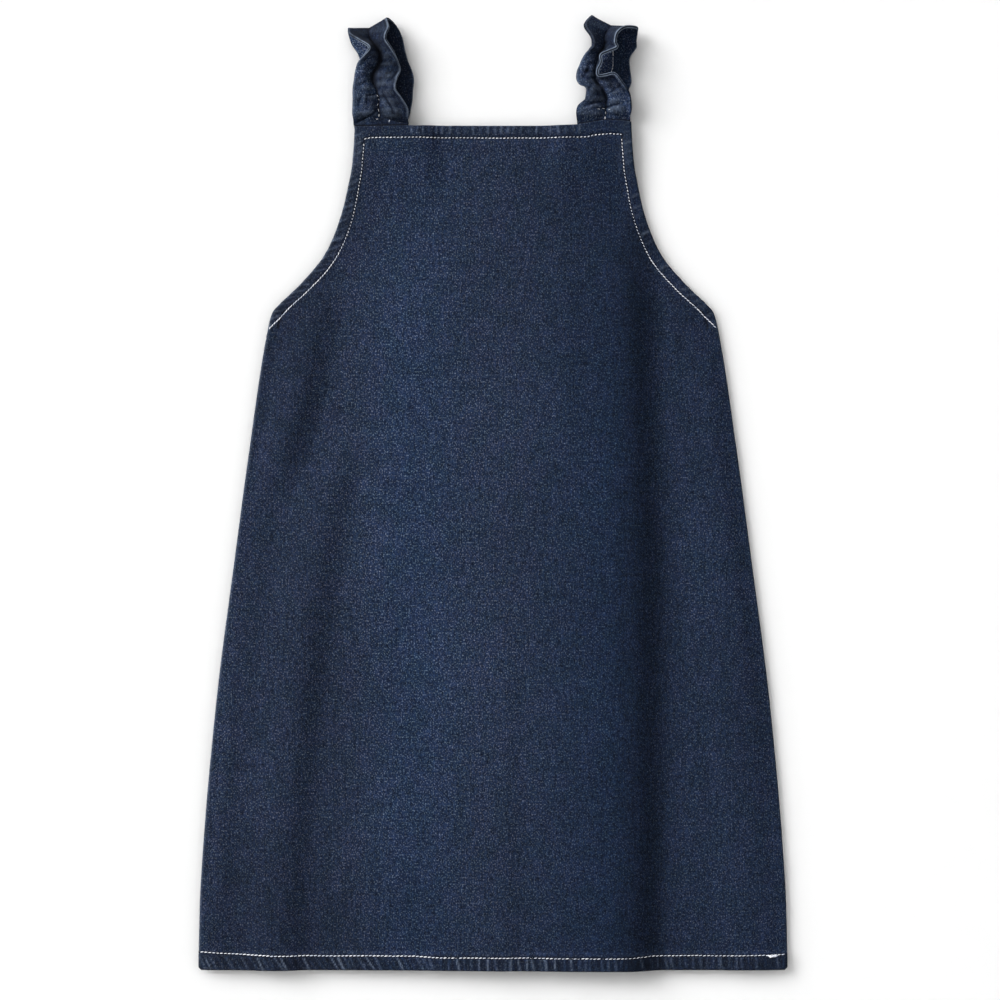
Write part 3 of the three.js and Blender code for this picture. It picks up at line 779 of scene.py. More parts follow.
def crease_depth(creases, x, y, centre_x):
    """The troughs' depth at points of the strap's front."""
    total = np.zeros(np.shape(x))
    for start, end, depth, half_width_mm in creases:
        from_x, from_y = start[0] + centre_x, frame_y(BIB_TOP + start[1])
        along_x, along_y = end[0] - start[0], end[1] - start[1]
        t = ((x - from_x) * along_x + (y - from_y) * along_y) / (along_x**2 + along_y**2)
        t = np.clip(t, 0, 1)
        away = np.hypot(x - from_x - t * along_x, y - from_y - t * along_y)
        ends = 0.35 + 0.65 * np.sin(np.pi * np.clip(t, 0.05, 0.95))
        total = np.maximum(total, depth * ends * np.exp(-((away / half_width_mm) ** 2)))
    return total


def strap_sheet(table, creases, centre_x, look):
    """The strap's middle surface as a grid of points, with its sections' run along the seam."""
    left, seam, right = strap_lines(table, centre_x)
    seed = look["seed"]
    run = np.concatenate([[0], np.cumsum(np.linalg.norm(np.diff(seam, axis=0), axis=1))])
    above = seam[:, 1] - frame_y(BIB_TOP)
    loose = smooth(FLAT_Z, FLAT_Z + 0.5, seam[:, 2]) * smooth(*ARCH_FROM, above)
    loose = (loose * smooth(*ARCH_ENDS, above))[:, None]
    before_turn = np.arange(len(seam)) < np.argmax(above)
    share = np.linspace(0, 1, RUFFLE_COLUMNS + 1)[None, 1:]
    shift = 2.6 * soft_noise(run, 0 * run, 13, seed + 1)
    swell = 0.25 + 0.75 * np.abs(soft_noise(run, 0 * run + 9, 8, seed + 2))
    wave = (swell * np.sin(2 * np.pi * (run + shift) / GATHER_PITCH))[:, None]
    curl = (look["curl"] * loose[:, 0] * before_turn)[:, None]
    curl = curl * (np.maximum(0, share - CURL_FROM) / (1 - CURL_FROM)) ** 2

    def ruffle(edge, flip):
        grid = seam[:, None, :] + (edge - seam)[:, None, :] * share[..., None]
        flat_reach = np.hypot(edge[:, 0] - seam[:, 0], edge[:, 1] - seam[:, 1])
        lying = flat_reach / np.linalg.norm(edge - seam, axis=1)
        arch_rise = (RUFFLE_PUFF * 4 + edge[:, 2] - seam[:, 2]) * lying**2
        arch = arch_rise[:, None] * share * (1 - share)
        pleat = look["gathers"] * wave * flip * 6.75 * share * (1 - share) ** 2
        uneven = 0.35 * soft_noise(run[:, None] + 40 * flip, share * 20, 4.5, seed)
        grid[..., 2] += loose * (arch + pleat + uneven * share) + curl * (flip > 0)
        return grid

    grid = np.concatenate([ruffle(left, -1)[:, ::-1], seam[:, None, :], ruffle(right, 1)], axis=1)
    trough = crease_depth(creases, grid[..., 0], grid[..., 1], centre_x) * before_turn[:, None]
    grid[..., 2] -= trough * smooth(FLAT_Z + 0.6, FLAT_Z + 1.6, grid[..., 2])
    return grid, run, trough


# %% [markdown]
# Doubled edges. The ruffle's two layers are joined at its edge, so seen end on it is two pale worn
# ridges with a dark groove between them. The rim of the mesh has that profile: nine points that go
# out over one ridge, into the groove and over the other.

# %% Strap meshes
STRAP_HALF = 0.8
RIM = np.array([(0.0, 1.0), (0.45, 0.98), (0.75, 0.72), (0.62, 0.38), (0.15, 0.0),
                (0.62, -0.38), (0.75, -0.72), (0.45, -0.98), (0.0, -1.0)])
RIM_WEAR = np.array([0.45, 0.9, 1.0, 0.7, 0.0, 0.7, 1.0, 0.9, 0.45])
# Painted shade in the groove between the doubled edge's two ridges.
RIM_GROOVE_SHADE = np.array([0, 0, 0, 0.5, 1.0, 0.5, 0, 0, 0])


def grid_normals(grid):
    along = np.gradient(grid, axis=0)
    across = np.gradient(grid, axis=1)
    normal = np.cross(across, along)
    return normal / np.linalg.norm(normal, axis=2, keepdims=True), across


def proud(height):
    """How far each point of a grid stands above the cloth around it, in millimetres."""
    around = height.copy()
    for _ in range(14):
        around[1:-1] = (around[:-2] + 2 * around[1:-1] + around[2:]) / 4
        around[:, 1:-1] = (around[:, :-2] + 2 * around[:, 1:-1] + around[:, 2:]) / 4
    return height - around


def painted_valley_shade(grid, strength):
    """Painted shade along the gathering seam, in the valley where the cloth stands up on both sides."""
    seam = grid[:, grid.shape[1] // 2]
    across = np.hypot(grid[..., 0] - seam[:, None, 0], grid[..., 1] - seam[:, None, 1])
    above = (seam[:, 1] - frame_y(BIB_TOP))[:, None]
    width = 1.3 + 2.2 * smooth(24, 36, above) * smooth(66, 56, above)
    return strength * np.exp(-((across / width) ** 2)) * smooth(*ARCH_FROM, above)


def strap_tones(look, above, past_turn, sides):
    """How light the outer and the inner face are, by height above the bib and side: partly wash, partly
    painted light and shade.
    """
    heights, left, right = np.array(look["front"], float).T
    to_right = smooth(-0.25, 0.15, sides)
    outer = np.interp(above, heights, left) * (1 - to_right) + np.interp(above, heights, right) * to_right
    outer = outer + (0.8 - outer) * past_turn
    inner_left, inner_right = look["inner"]
    inner = inner_left + (inner_right - inner_left) * to_right + 0 * above
    return outer, inner


def strap_piece(name, table, creases, centre_x, look):
    grid, run, trough = strap_sheet(table, creases, centre_x, look)
    normal, across = grid_normals(grid)
    rows, columns = grid.shape[:2]
    share = np.abs(np.linspace(-1, 1, columns))
    above = (grid[:, columns // 2, 1] - frame_y(BIB_TOP))[:, None]
    free = smooth(*ARCH_FROM, above)
    half = STRAP_HALF + (look["edge_half"] - STRAP_HALF) * smooth(0.75, 1, share)[None, :] * free
    top = grid + normal * half[..., None]
    bottom = grid - normal * half[..., None]

    def rim(column, sign):
        out = across[:, column] * sign
        out = out / np.linalg.norm(out, axis=1, keepdims=True)
        reach = out[:, None, :] * (RIM[None, 1:-1, :1] * free[..., None])
        rise = normal[:, None, column, :] * (half[:, column, None, None] * RIM[None, 1:-1, 1:])
        return grid[:, None, column, :] + reach + rise

    # One ring a section: the top from left to right, the right rim down, the bottom back, the left rim up.
    ring = np.concatenate([top, rim(columns - 1, 1), bottom[:, ::-1], rim(0, -1)[:, ::-1]], axis=1)
    ring[..., 2] = np.maximum(ring[..., 2], 0.05)
    turn = int(np.argmax(grid[:, columns // 2, 1]))
    past_turn = smooth(turn - 4, turn + 5, np.arange(rows, dtype=float))[:, None]
    rise = proud(grid[..., 2])
    near_edge = 0.5 * smooth(0.93, 1, share)[None, :]
    shown = 1 - 0.6 * past_turn
    place = (run[:, None], np.linspace(-20, 20, columns)[None, :])
    seed = look["seed"]
    mottle = 0.5 * soft_noise(*place, 4.2, seed) + 0.5 * soft_noise(*place, 1.9, seed + 5)
    rim_worn = look["rim_worn"][1] * smooth(*look["rim_foot"], above)
    # Raised points are paler: partly crest wear, partly painted highlight.
    face_wear_and_highlight = np.clip(0.42 * rise, 0, 0.42) * shown + near_edge * rim_worn
    # Painted shade in the hollows, where a point lies below the cloth around it, and in the creases, with
    # some random mottle.
    face_shade_and_mottle = np.clip(-0.9 * rise - 0.25 * mottle, 0, 0.8) * shown + painted_valley_shade(grid, look["valley"])
    face_shade_and_mottle = np.maximum(face_shade_and_mottle, 0.7 * np.clip(trough, 0, 1))
    # Painted shadow: a dark line on the strap where it goes under the bib's edge.
    out_of_bib = grid[..., 1] - frame_y(BIB_TOP) - corner_rise(grid[..., 0], BIB_TOP)
    painted_bib_edge_shadow = np.exp(-(((out_of_bib - 0.7) / 0.9) ** 2)) * (np.arange(rows) < turn)[:, None]
    face_shade_and_mottle = np.maximum(face_shade_and_mottle, painted_bib_edge_shadow)
    rim_wear = np.broadcast_to(RIM_WEAR[1:-1], (rows, 7)) * (0.4 + 0.6 * shown)
    steep = smooth(4, 9, np.abs(grid[:, 0, 2] - grid[:, columns // 2, 2]))[:, None]
    left_wear = rim_wear * (0.3 + 0.7 * steep) * look["rim_worn"][0]
    rim_wear = rim_wear * rim_worn
    rim_groove_shade = np.broadcast_to(RIM_GROOVE_SHADE[1:-1], (rows, 7))
    past_turn_right = past_turn * (np.linspace(-1, 1, columns)[None, :] > 0)
    inner_shade = look["inner_painted_shade"] * past_turn_right
    plain = np.zeros((rows, columns))
    wear_and_highlight = np.concatenate([face_wear_and_highlight, rim_wear, plain, left_wear], axis=1)
    sides = np.linspace(-1, 1, columns)[None, :]
    outer_tone, inner_tone = strap_tones(look, above, past_turn, sides)
    outer_tone = outer_tone * (1 + 0.55 * mottle)
    dark = np.concatenate([face_shade_and_mottle, rim_groove_shade, inner_shade[:, ::-1], rim_groove_shade], axis=1)
    right_tone = np.repeat(outer_tone[:, -1:], 7, axis=1)
    left_tone = np.repeat(outer_tone[:, :1], 7, axis=1)
    tone = np.concatenate([outer_tone, right_tone, inner_tone[:, ::-1], left_tone], axis=1)
    half_cut = np.linspace(-21, 21, columns)
    rim_cut = np.full(7, 21.0)
    cut_x = np.concatenate([half_cut, rim_cut, half_cut[::-1], -rim_cut])
    size = ring.shape[1]
    weave = np.stack(np.broadcast_arrays(cut_x[None, :], run[:, None], 0.0), axis=2)
    marks = {
        "wear_and_highlight": wear_and_highlight.ravel(),
        "dark": np.clip(dark, 0, 1).ravel(),
        "tone": tone.ravel(),
        "cool": np.full(tone.size, 0.3),
        "weave": weave.reshape(-1, 3),
    }
    numbers = np.arange(rows * size).reshape(rows, size)
    following = np.roll(numbers, -1, axis=1)
    quads = np.stack([numbers[:-1], following[:-1], following[1:], numbers[1:]], axis=2)
    faces = quads.reshape(-1, 4).tolist()
    faces.append(numbers[0, ::-1].tolist())
    faces.append(numbers[-1].tolist())
    piece = new_piece(name, ring.reshape(-1, 3), faces, marks)
    print(f"{name}: {rows} sections, {2 * len(faces)} triangles, {run[-1]:.0f} mm along the seam")
    return piece, grid, normal


left_strap, left_grid, left_normal = strap_piece(
    "left_ruffle", LEFT_STRAP, LEFT_CREASES, -STRAP_CENTRE, LEFT_LOOK)
right_strap, right_grid, right_normal = strap_piece(
    "right_ruffle", RIGHT_STRAP, RIGHT_CREASES, STRAP_CENTRE, RIGHT_LOOK)

# %% [markdown]
# Topstitching. Each stitch is a short length of thick off-white thread that comes up through the
# cloth, lies on it and goes down again. A dashed line in the material would have no thickness. All
# the stitches of a panel are one mesh, made by placing a twisted template along the line.

# %% One stitch and a row of them
THREAD_HALF = 0.36
STITCH_SLANT = 0.16
STITCH_SIDES = 8
STITCH_RINGS = np.array([-1, -0.86, -0.5, 0, 0.5, 0.86, 1.0])


def stitch_template():
    """Points (along, across, height) of one stitch, with along from -1 to 1, and its faces."""
    points = []
    for t in STITCH_RINGS:
        taper = np.sqrt(max(0.06, 1 - abs(t) ** 3.5))
        turn = np.linspace(0, 2 * np.pi, STITCH_SIDES, endpoint=False)
        lobe = 1 + 0.16 * np.cos(2 * (turn - 1.3 * t))
        arch = 0.5 * (1 - t * t) - 0.35
        points.extend(zip(np.full(STITCH_SIDES, t), 1.15 * taper * lobe * np.cos(turn),
                          0.85 * taper * lobe * np.sin(turn) + arch))
    numbers = np.arange(len(points)).reshape(len(STITCH_RINGS), STITCH_SIDES)
    following = np.roll(numbers, -1, axis=1)
    quads = np.stack([numbers[:-1], following[:-1], following[1:], numbers[1:]], axis=2)
    faces = [*quads.reshape(-1, 4).tolist(), numbers[0, ::-1].tolist(), numbers[-1].tolist()]
    return np.array(points), faces


def place_stitches(name, spots):
    """One mesh of stitches. A spot is a centre, an along direction, an up direction and a length."""
    template, faces = stitch_template()
    points, all_faces = [], []
    for k, (centre, along, outward, length, size) in enumerate(spots):
        across = np.cross(outward, along)
        place = centre + template[:, :1] * along * length / 2
        place = place + template[:, 1:2] * across * THREAD_HALF * size
        place = place + template[:, 2:] * outward * THREAD_HALF * size
        points.append(place)
        all_faces.extend([number + k * len(template) for number in face] for face in faces)
    points = np.concatenate(points)
    shade = np.repeat(np.random.default_rng(len(spots)).uniform(0, 1, len(spots)), len(template))
    piece = new_piece(name, points, all_faces, {"shade": shade})
    print(f"{name}: {len(spots)} stitches, {sum(len(face) - 2 for face in all_faces)} triangles")
    return piece


def stitch_spots(path, surface, pitch, facing, seed, fullness, size):
    """Spots along a path of (x, y) points on a surface. fullness and size are for its two halves."""
    rng = np.random.default_rng(seed)
    run = np.concatenate([[0], np.cumsum(np.linalg.norm(np.diff(path, axis=0), axis=1))])
    middles = np.arange(pitch / 2, run[-1], pitch)
    spots = []
    for middle in middles:
        share = middle / run[-1]
        reach = np.interp(share, (0.35, 0.55), fullness) * pitch / 2
        ends = [np.array([np.interp(middle + side * reach, run, path[:, k]) for k in (0, 1)])
                for side in (-1, 1)]
        ends = [np.append(end, surface(*end)) for end in ends]
        along = ends[1] - ends[0]
        length = np.linalg.norm(along)
        along = along / length
        sideways = np.cross([0, 0, facing], along)
        sideways = sideways / np.linalg.norm(sideways)
        outward = np.cross(along, sideways)
        slanted = along + STITCH_SLANT * sideways
        slanted = slanted / np.linalg.norm(slanted)
        wander = 0.22 * np.sin(middle / 9) * np.sin(middle / 23 + seed)
        centre = (ends[0] + ends[1]) / 2 + (wander + rng.uniform(-0.1, 0.1)) * sideways
        this_size = np.interp(share, (0.35, 0.8), size) * rng.uniform(0.9, 1.1)
        spots.append((centre, slanted, outward, length * rng.uniform(0.94, 1.05), this_size))
    return spots


# %% Stitch lines of a panel
def true_height(x, y, mirror):
    """The height above the hem before the corners rise: the rise is small, so it is found by steps."""
    level = y + OVERALL_LENGTH / 2
    up_here = level
    for _ in range(4):
        up_here = level - (0 if mirror else corner_rise(x, up_here))
    return up_here


def front_surface(x, y):
    x, y = np.array([x]), np.array([y])
    up_here = true_height(x, y, False)
    inset_here = (half_width(up_here) - np.abs(x)) / edge_lean(up_here)
    return float(front_outer(x, up_here, inset_here)[0][0])


def back_surface(x, y):
    x, y = np.array([x]), np.array([y])
    up_here = true_height(x, y, True)
    inset_here = (half_width(up_here) - BACK_INSET - np.abs(x)) / edge_lean(up_here)
    return float(back_under(x, up_here, inset_here)[0][0])


def armhole_path(side, top_up, outset):
    """The line EDGE_BAND inside an armhole, carried straight on until it reaches the side."""
    ups = np.linspace(top_up, UNDERARM + 4, 90)
    half = half_width(ups) - outset
    slope = half_width(ups + 0.5) - half_width(ups - 0.5)
    lean = np.hypot(1, slope)
    xs = half - ARM_BAND(ups) / lean
    ys = ups + slope * ARM_BAND(ups) / lean
    step_x, step_y = xs[-1] - xs[-6], ys[-1] - ys[-6]
    while xs[-1] < half_width(ys[-1]) - outset - 0.8:
        xs = np.append(xs, xs[-1] + step_x * 0.2)
        ys = np.append(ys, ys[-1] + step_y * 0.2)
    return np.column_stack([side * xs, frame_y(ys)])


def panel_stitches(surface, facing, mirror, outset):
    hem_x = np.arange(-half_width(12) + 1 + outset, half_width(12) - 1 - outset, 1.0)
    hem = np.column_stack([hem_x, frame_y(HEM_LINE(-hem_x if mirror else hem_x))])
    corners = LINE_CORNERS if not mirror else (-LINE_CORNERS[1], -LINE_CORNERS[0])
    neck_x = np.arange(corners[0], corners[1], 1.0)
    neck = np.column_stack([neck_x, frame_y(NECK_LINE(-neck_x if mirror else neck_x))])
    spots = stitch_spots(hem, surface, 2.9, facing, 41, (0.97, 0.94), (0.84, 0.6))
    spots += stitch_spots(neck, surface, 2.7, facing, 42, (0.74, 0.74), (0.78, 0.78))
    for side, corner in ((-1, neck[0]), (1, neck[-1])):
        top_up = corner[1] + OVERALL_LENGTH / 2 - 2.4
        path = armhole_path(side, top_up, outset)
        spots += stitch_spots(path, surface, 2.5, facing, 43 + side, (0.7, 1.08), (0.58, 0.74))
    return spots


front_spots = panel_stitches(front_surface, 1, False, 0)
back_spots = panel_stitches(back_surface, -1, True, BACK_INSET)

# %% [markdown]
# The back tack and the gathering stitches. Where the hem's seam starts and ends the machine sews
# back and forth, which leaves a short thick knot of thread. The row that gathers a strap sinks into
# the gathers, so only a few of its stitches show near the bib.

# %% Back tack and gathering stitches
TACK_X = (203, 209.5)
TACK_STITCHES = 9


def tack_spots():
    rng = np.random.default_rng(51)
    spots = []
    for k in range(TACK_STITCHES):
        x_here = TACK_X[0] + (TACK_X[1] - TACK_X[0]) * (k + 0.5) / TACK_STITCHES
        y_here = frame_y(HEM_LINE(x_here)) + rng.uniform(-1.2, -0.1)
        turn = rng.uniform(-0.5, 0.7)
        along = np.array([np.cos(turn), np.sin(turn), 0.0])
        centre = np.array([x_here, y_here, front_surface(x_here, y_here) + rng.uniform(0.25, 0.55)])
        spots.append((centre, along, np.array([0, 0, 1.0]), rng.uniform(2.2, 3.2), 1.1))
    return spots


def seam_spots(grid, normal, low, high):
    """Long thin stitches along a strap's seam on its inner face, between two heights above the bib."""
    seam = grid.shape[1] // 2
    line = grid[:, seam] - normal[:, seam] * STRAP_HALF
    above = line[:, 1] - frame_y(BIB_TOP)
    rows = np.arange(len(line))
    shown = rows[(rows > np.argmax(above)) & (above > low) & (above < high)]
    run = np.concatenate([[0], np.cumsum(np.linalg.norm(np.diff(line[shown], axis=0), axis=1))])
    spots = []
    for middle in np.arange(1.3, run[-1], 2.6):
        k = int(np.interp(middle, run, shown))
        along = line[min(k + 2, len(line) - 1)] - line[k - 2]
        along = along / np.linalg.norm(along)
        spots.append((line[k], along, -normal[k, seam], 2.7, 0.46))
    return spots


# Stray stitches: how far across and up from the seat's middle, the turn and the thread's size.
LEFT_STRAYS = [(-2.9, 21.4, 2.2, 0.42), (-0.9, 18.9, 2.6, 0.36), (-2.6, 15.2, 0.9, 0.36),
               (-2.0, 11.2, 1.9, 0.34), (-1.7, 7.2, 1.5, 0.5), (6.8, 3.0, 1.2, 0.62), (-2.6, 4.4, 0.1, 0.3)]
RIGHT_STRAYS = [(-5.2, 11.2, 0.1, 0.3), (-1.6, 11.8, 0.1, 0.3), (3.6, 11.4, 0.1, 0.3),
                (-0.2, 9.4, 1.5, 0.35), (-0.4, 5.4, 1.5, 0.7)]


def stray_spots(grid, normal, strays, centre_x):
    """Stitches listed one by one on a strap's front, each at the grid point nearest its place."""
    front = grid[: int(np.argmax(grid[:, grid.shape[1] // 2, 1]))]
    spots = []
    for across, up_here, turn, size in strays:
        away = np.hypot(front[..., 0] - centre_x - across, front[..., 1] - frame_y(BIB_TOP + up_here))
        i, j = np.unravel_index(np.argmin(away), away.shape)
        outward = normal[i, j]
        along = np.array([np.cos(turn), np.sin(turn), 0.0])
        along = along - outward * (along @ outward)
        along = along / np.linalg.norm(along)
        spots.append((front[i, j] + outward * (STRAP_HALF + 0.12), along, outward, 1.9, size))
    return spots


front_spots += tack_spots()
front_thread = place_stitches("front_topstitching", front_spots)
back_thread = place_stitches("back_topstitching", back_spots)
left_spots = stray_spots(left_grid, left_normal, LEFT_STRAYS, -STRAP_CENTRE)
right_spots = seam_spots(right_grid, right_normal, 4, 62)
right_spots += stray_spots(right_grid, right_normal, RIGHT_STRAYS, STRAP_CENTRE)
left_thread = place_stitches("left_gathering", left_spots)
right_thread = place_stitches("right_gathering", right_spots)

# %% [markdown]
# The denim. Indigo warp lies over white weft in diagonal ribs just under a millimetre apart, and
# washing leaves pale flecks where the white core shows. The pattern is read from the "weave" mark,
# which holds each point's place in the flat cut, so it bends with the ruffles. The ribs go to the
# bump and the colour, the flecks are a stretched noise, and broad soft noises fade and tint the cloth.

# %% Material helpers
def new_material(name):
    material = bpy.data.materials.new(name)
    material.use_nodes = True
    nodes, links = material.node_tree.nodes, material.node_tree.links
    return material, nodes, links, nodes["Principled BSDF"]


def add(nodes, kind, **values):
    """A new node with its properties, or its inputs by name, set."""
    node = nodes.new(kind)
    for key, value in values.items():
        if hasattr(node, key):
            setattr(node, key, value)
        else:
            node.inputs[key.replace("_", " ").title()].default_value = value
    return node


def blend_colours(nodes, links, factor, first, second, mode="MIX"):
    """A colour mix. first and second are colours or sockets."""
    mix = nodes.new("ShaderNodeMix")
    mix.data_type = "RGBA"
    mix.blend_type = mode
    mix.clamp_factor = True
    for socket, value in ((mix.inputs[0], factor), (mix.inputs[6], first), (mix.inputs[7], second)):
        if isinstance(value, bpy.types.NodeSocket):
            links.new(value, socket)
        else:
            socket.default_value = value
    return mix.outputs[2]


def ramp(nodes, links, source, low, high, from_value=0.0, to_value=1.0):
    """source from low to high, mapped softly to from_value to to_value."""
    node = nodes.new("ShaderNodeMapRange")
    node.interpolation_type = "SMOOTHSTEP"
    for name, value in (("From Min", low), ("From Max", high), ("To Min", from_value), ("To Max", to_value)):
        node.inputs[name].default_value = value
    links.new(source, node.inputs["Value"])
    return node.outputs["Result"]


def times(nodes, links, first, second):
    """The product of two sockets."""
    product = nodes.new("ShaderNodeMath")
    product.operation = "MULTIPLY"
    links.new(first, product.inputs[0])
    links.new(second, product.inputs[1])
    return product.outputs[0]


def noise(nodes, links, place, size, detail=2.0, rough=0.55, stretch=(1, 1, 1), offset=(0, 0, 0)):
    """Noise with features of about that size, in the weave's millimetres."""
    mapping = nodes.new("ShaderNodeMapping")
    mapping.inputs["Scale"].default_value = [1 / (size * part) for part in stretch]
    mapping.inputs["Location"].default_value = offset
    links.new(place, mapping.inputs["Vector"])
    texture = nodes.new("ShaderNodeTexNoise")
    texture.inputs["Scale"].default_value = 1.0
    texture.inputs["Detail"].default_value = detail
    texture.inputs["Roughness"].default_value = rough
    links.new(mapping.outputs["Vector"], texture.inputs["Vector"])
    return texture.outputs["Fac"]


# %% Washed denim
INDIGO = (0.0014, 0.0036, 0.0120, 1)
MID_BLUE = (0.0110, 0.0212, 0.0500, 1)
FLECK = (0.150, 0.180, 0.228, 1)
# Pale blue for wear, also used for painted highlights.
PALE_WEAR_AND_HIGHLIGHT = (0.19, 0.235, 0.31, 1)
# Near-black blue for the dark mark: darker dye, and painted shade where the cloth is sunk or hidden.
DARK_DYE_AND_SHADE = (0.0035, 0.0045, 0.0080, 1)
WARM_CAST = (1.04, 1.0, 0.98, 1)
COOL_CAST = (0.84, 1.0, 1.09, 1)
RIB_PITCH = 0.95
RIB_ANGLE = 1.08


def denim_material():
    material, nodes, links, shader = new_material("washed_denim")
    weave = add(nodes, "ShaderNodeAttribute", attribute_name="weave").outputs["Vector"]
    marks = {key: add(nodes, "ShaderNodeAttribute", attribute_name=key).outputs["Fac"]
             for key in ("wear_and_highlight", "dark", "tone", "cool")}
    turn = nodes.new("ShaderNodeMapping")
    turn.inputs["Rotation"].default_value = (0, 0, RIB_ANGLE)
    links.new(weave, turn.inputs["Vector"])
    ribs = add(nodes, "ShaderNodeTexWave", bands_direction="X")
    ribs.inputs["Scale"].default_value = 2 * np.pi / (20 * RIB_PITCH)
    ribs.inputs["Distortion"].default_value = 0.6
    ribs.inputs["Detail"].default_value = 1.0
    links.new(turn.outputs["Vector"], ribs.inputs["Vector"])
    flecks = noise(nodes, links, weave, 2.5, 4.0, 0.85, (0.9, 1.15, 1))
    specks = noise(nodes, links, weave, 1.05, 1.0, 0.5, (0.9, 1.2, 1), (11, 3, 0))
    streaks = noise(nodes, links, weave, 1.3, 2.0, 0.6, (1, 14, 1), (7, 0, 0))
    clouds = noise(nodes, links, weave, 7, 2.0, 0.6, (1, 1.3, 1), (5, 2, 0))
    patches = noise(nodes, links, weave, 16, 3.0, 0.6, (1, 1.3, 1), (3, 9, 0))
    fading = noise(nodes, links, weave, 95, 2.0, 0.5, (1, 1.4, 1), (1, 4, 0))
    mid_share = ramp(nodes, links, flecks, 0.32, 0.66, 0.0, 1.0)
    colour = blend_colours(nodes, links, mid_share, INDIGO, MID_BLUE)
    speck_share = times(nodes, links, ramp(nodes, links, specks, 0.5, 0.82, 0.0, 0.54), marks["tone"])
    colour = blend_colours(nodes, links, speck_share, colour, FLECK)
    rib_tone = ramp(nodes, links, ribs.outputs["Fac"], 0.0, 1.0, 0.82, 1.14)
    streak_tone = ramp(nodes, links, streaks, 0.3, 0.7, 0.82, 1.2)
    cloud_tone = ramp(nodes, links, clouds, 0.3, 0.7, 0.87, 1.15)
    patch_tone = ramp(nodes, links, patches, 0.3, 0.7, 0.93, 1.08)
    fade_tone = ramp(nodes, links, fading, 0.3, 0.7, 0.92, 1.09)
    tone = marks["tone"]
    for factor in (rib_tone, streak_tone, cloud_tone, patch_tone, fade_tone):
        tone = times(nodes, links, tone, factor)
    grey = nodes.new("ShaderNodeCombineColor")
    for channel in ("Red", "Green", "Blue"):
        links.new(tone, grey.inputs[channel])
    colour = blend_colours(nodes, links, 1.0, colour, grey.outputs["Color"], "MULTIPLY")
    tint = ramp(nodes, links, patches, 0.35, 0.65)
    tint = blend_colours(nodes, links, tint, (0.95, 1.02, 1.0, 1), (1.05, 0.98, 1.02, 1))
    colour = blend_colours(nodes, links, 1.0, colour, tint, "MULTIPLY")
    cast = blend_colours(nodes, links, marks["cool"], WARM_CAST, COOL_CAST)
    colour = blend_colours(nodes, links, 1.0, colour, cast, "MULTIPLY")
    wear_and_highlight_share = times(nodes, links, marks["wear_and_highlight"], ramp(nodes, links, flecks, 0.3, 0.62, 0.35, 0.9))
    colour = blend_colours(nodes, links, wear_and_highlight_share, colour, PALE_WEAR_AND_HIGHLIGHT)
    dye_and_shade_share = ramp(nodes, links, marks["dark"], 0.15, 1.0, 0.0, 0.85)
    colour = blend_colours(nodes, links, dye_and_shade_share, colour, DARK_DYE_AND_SHADE)
    links.new(colour, shader.inputs["Base Color"])
    links.new(ramp(nodes, links, flecks, 0.2, 0.8, 0.82, 0.96), shader.inputs["Roughness"])
    shader.inputs["Specular IOR Level"].default_value = 0.08
    shader.inputs["Sheen Weight"].default_value = 0.04
    shader.inputs["Sheen Roughness"].default_value = 0.45
    shader.inputs["Sheen Tint"].default_value = (0.75, 0.82, 1.0, 1)
    height = nodes.new("ShaderNodeMath")
    height.operation = "MULTIPLY_ADD"
    links.new(flecks, height.inputs[0])
    height.inputs[1].default_value = 1.3
    links.new(ribs.outputs["Fac"], height.inputs[2])
    bump = nodes.new("ShaderNodeBump")
    bump.inputs["Strength"].default_value = 0.55
    bump.inputs["Distance"].default_value = 0.00016
    links.new(height.outputs[0], bump.inputs["Height"])
    links.new(bump.outputs["Normal"], shader.inputs["Normal"])
    return material


denim = denim_material()
for piece in (front, back, left_strap, right_strap):
    piece.data.materials.append(denim)
print("denim on", [piece.name for piece in (front, back, left_strap, right_strap)])

# %% [markdown]
# The thread. Topstitching thread is thick, off-white cotton, a little duller than the light parts of
# a white shirt, and picks up some blue from the dye. Each stitch has its own shade, kept in a mark.

# %% Off-white thread
THREAD_PALE = (0.72, 0.73, 0.78, 1)
THREAD_BLUED = (0.42, 0.46, 0.56, 1)


def thread_material():
    material, nodes, links, shader = new_material("off_white_thread")
    shade = add(nodes, "ShaderNodeAttribute", attribute_name="shade").outputs["Fac"]
    share = ramp(nodes, links, shade, 0.35, 1.0, 0.0, 0.9)
    place = nodes.new("ShaderNodeTexCoord").outputs["Object"]
    fuzz = nodes.new("ShaderNodeTexNoise")
    fuzz.inputs["Scale"].default_value = 2600
    links.new(place, fuzz.inputs["Vector"])
    colour = blend_colours(nodes, links, share, THREAD_PALE, THREAD_BLUED)
    links.new(colour, shader.inputs["Base Color"])
    shader.inputs["Roughness"].default_value = 0.75
    shader.inputs["Specular IOR Level"].default_value = 0.3
    shader.inputs["Sheen Weight"].default_value = 0.1
    bump = nodes.new("ShaderNodeBump")
    bump.inputs["Strength"].default_value = 0.5
    bump.inputs["Distance"].default_value = 0.00008
    links.new(fuzz.outputs["Fac"], bump.inputs["Height"])
    links.new(bump.outputs["Normal"], shader.inputs["Normal"])
    return material


thread = thread_material()
for piece in (front_thread, back_thread, left_thread, right_thread):
    piece.data.materials.append(thread)

# %% [markdown]
# The floor and the light. A white table and one large soft light from the upper left give the photo's
# look: the left of each roll is bright, its steep right is dark, and a short soft shadow lies to the
# right and below. A second, weaker light from straight above keeps the shadows open.

# %% Floor
FLOOR_HALF = 3.0
FLOOR_GLOW = 1.0  # how much of the light goes into the opal sheet and spreads there
FLOOR_DEPTH = 30


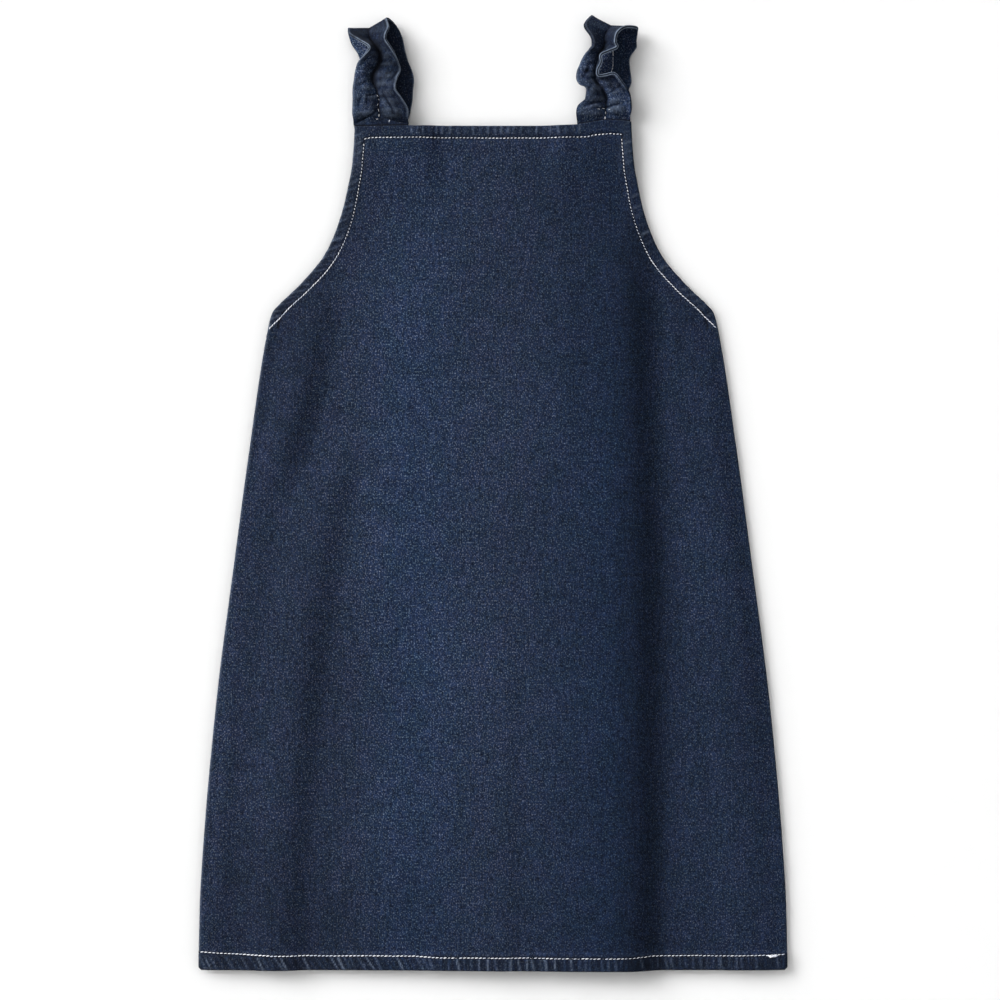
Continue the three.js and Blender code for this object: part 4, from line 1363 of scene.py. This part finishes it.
def make_floor():
    mesh = bpy.data.meshes.new("floor")
    corners = [(-FLOOR_HALF, -FLOOR_HALF), (FLOOR_HALF, -FLOOR_HALF), (FLOOR_HALF, FLOOR_HALF),
               (-FLOOR_HALF, FLOOR_HALF)]
    mesh.from_pydata([(px, py, -0.0001) for px, py in corners], [], [(0, 1, 2, 3)])
    material, nodes, links, shader = new_material("pale_floor")
    shader.inputs["Base Color"].default_value = (0.76, 0.76, 0.76, 1)
    shader.inputs["Roughness"].default_value = 0.9
    shader.inputs["Specular IOR Level"].default_value = 0.1
    shader.subsurface_method = "BURLEY"
    shader.inputs["Subsurface Weight"].default_value = FLOOR_GLOW
    shader.inputs["Subsurface Radius"].default_value = (1, 1, 1)
    shader.inputs["Subsurface Scale"].default_value = FLOOR_DEPTH * MM
    mesh.materials.append(material)
    made = bpy.data.objects.new("floor", mesh)
    bpy.context.scene.collection.objects.link(made)
    return made


floor = make_floor()

# %% Lights
KEY_PLACE = (-23.92, 15.52, 14.56)  # far away, so that both sides of the dress are lit alike
KEY_SIZE = 15.2
KEY_POWER = 21120
TOP_PLACE = (0.25, -0.25, 5.2)
TOP_SIZE = 4.8
TOP_POWER = 68
WORLD_LIGHT = 0.27


def area_light(name, place, size, power):
    data = bpy.data.lights.new(name, "AREA")
    data.shape = "SQUARE"
    data.size = size
    data.energy = power
    light = bpy.data.objects.new(name, data)
    bpy.context.scene.collection.objects.link(light)
    light.location = place
    light.rotation_mode = "QUATERNION"
    light.rotation_quaternion = light.location.to_track_quat("Z", "Y")
    return light


area_light("key", KEY_PLACE, KEY_SIZE, KEY_POWER)
area_light("top", TOP_PLACE, TOP_SIZE, TOP_POWER)
world = bpy.data.worlds.new("studio")
world.use_nodes = True
world.node_tree.nodes["Background"].inputs["Color"].default_value = (1, 1, 1, 1)
world.node_tree.nodes["Background"].inputs["Strength"].default_value = WORLD_LIGHT
bpy.context.scene.world = world
bpy.context.scene.view_settings.view_transform = "Standard"

# %% [markdown]
# Attaching. Each piece rides on the dress's one body and takes the place of its CAD node, which is
# hidden. The stitches ride on the same body. A panel's area is worked out from the outline.

panel_rows = np.linspace(0, BIB_TOP, 626)
panel_area = float(2 * half_width(panel_rows).sum() * MM * MM)
pieces = {
    front: ("front_panel", "denim"),
    back: ("back_panel", "denim"),
    left_strap: ("left_strap", "strap_denim"),
    right_strap: ("right_strap", "strap_denim"),
}
for piece, (node, slot) in pieces.items():
    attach(piece, "root")
    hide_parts(node)
for piece, slot in ((front_thread, "denim"), (back_thread, "denim"),
                    (left_thread, "strap_denim"), (right_thread, "strap_denim")):
    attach(piece, "root")
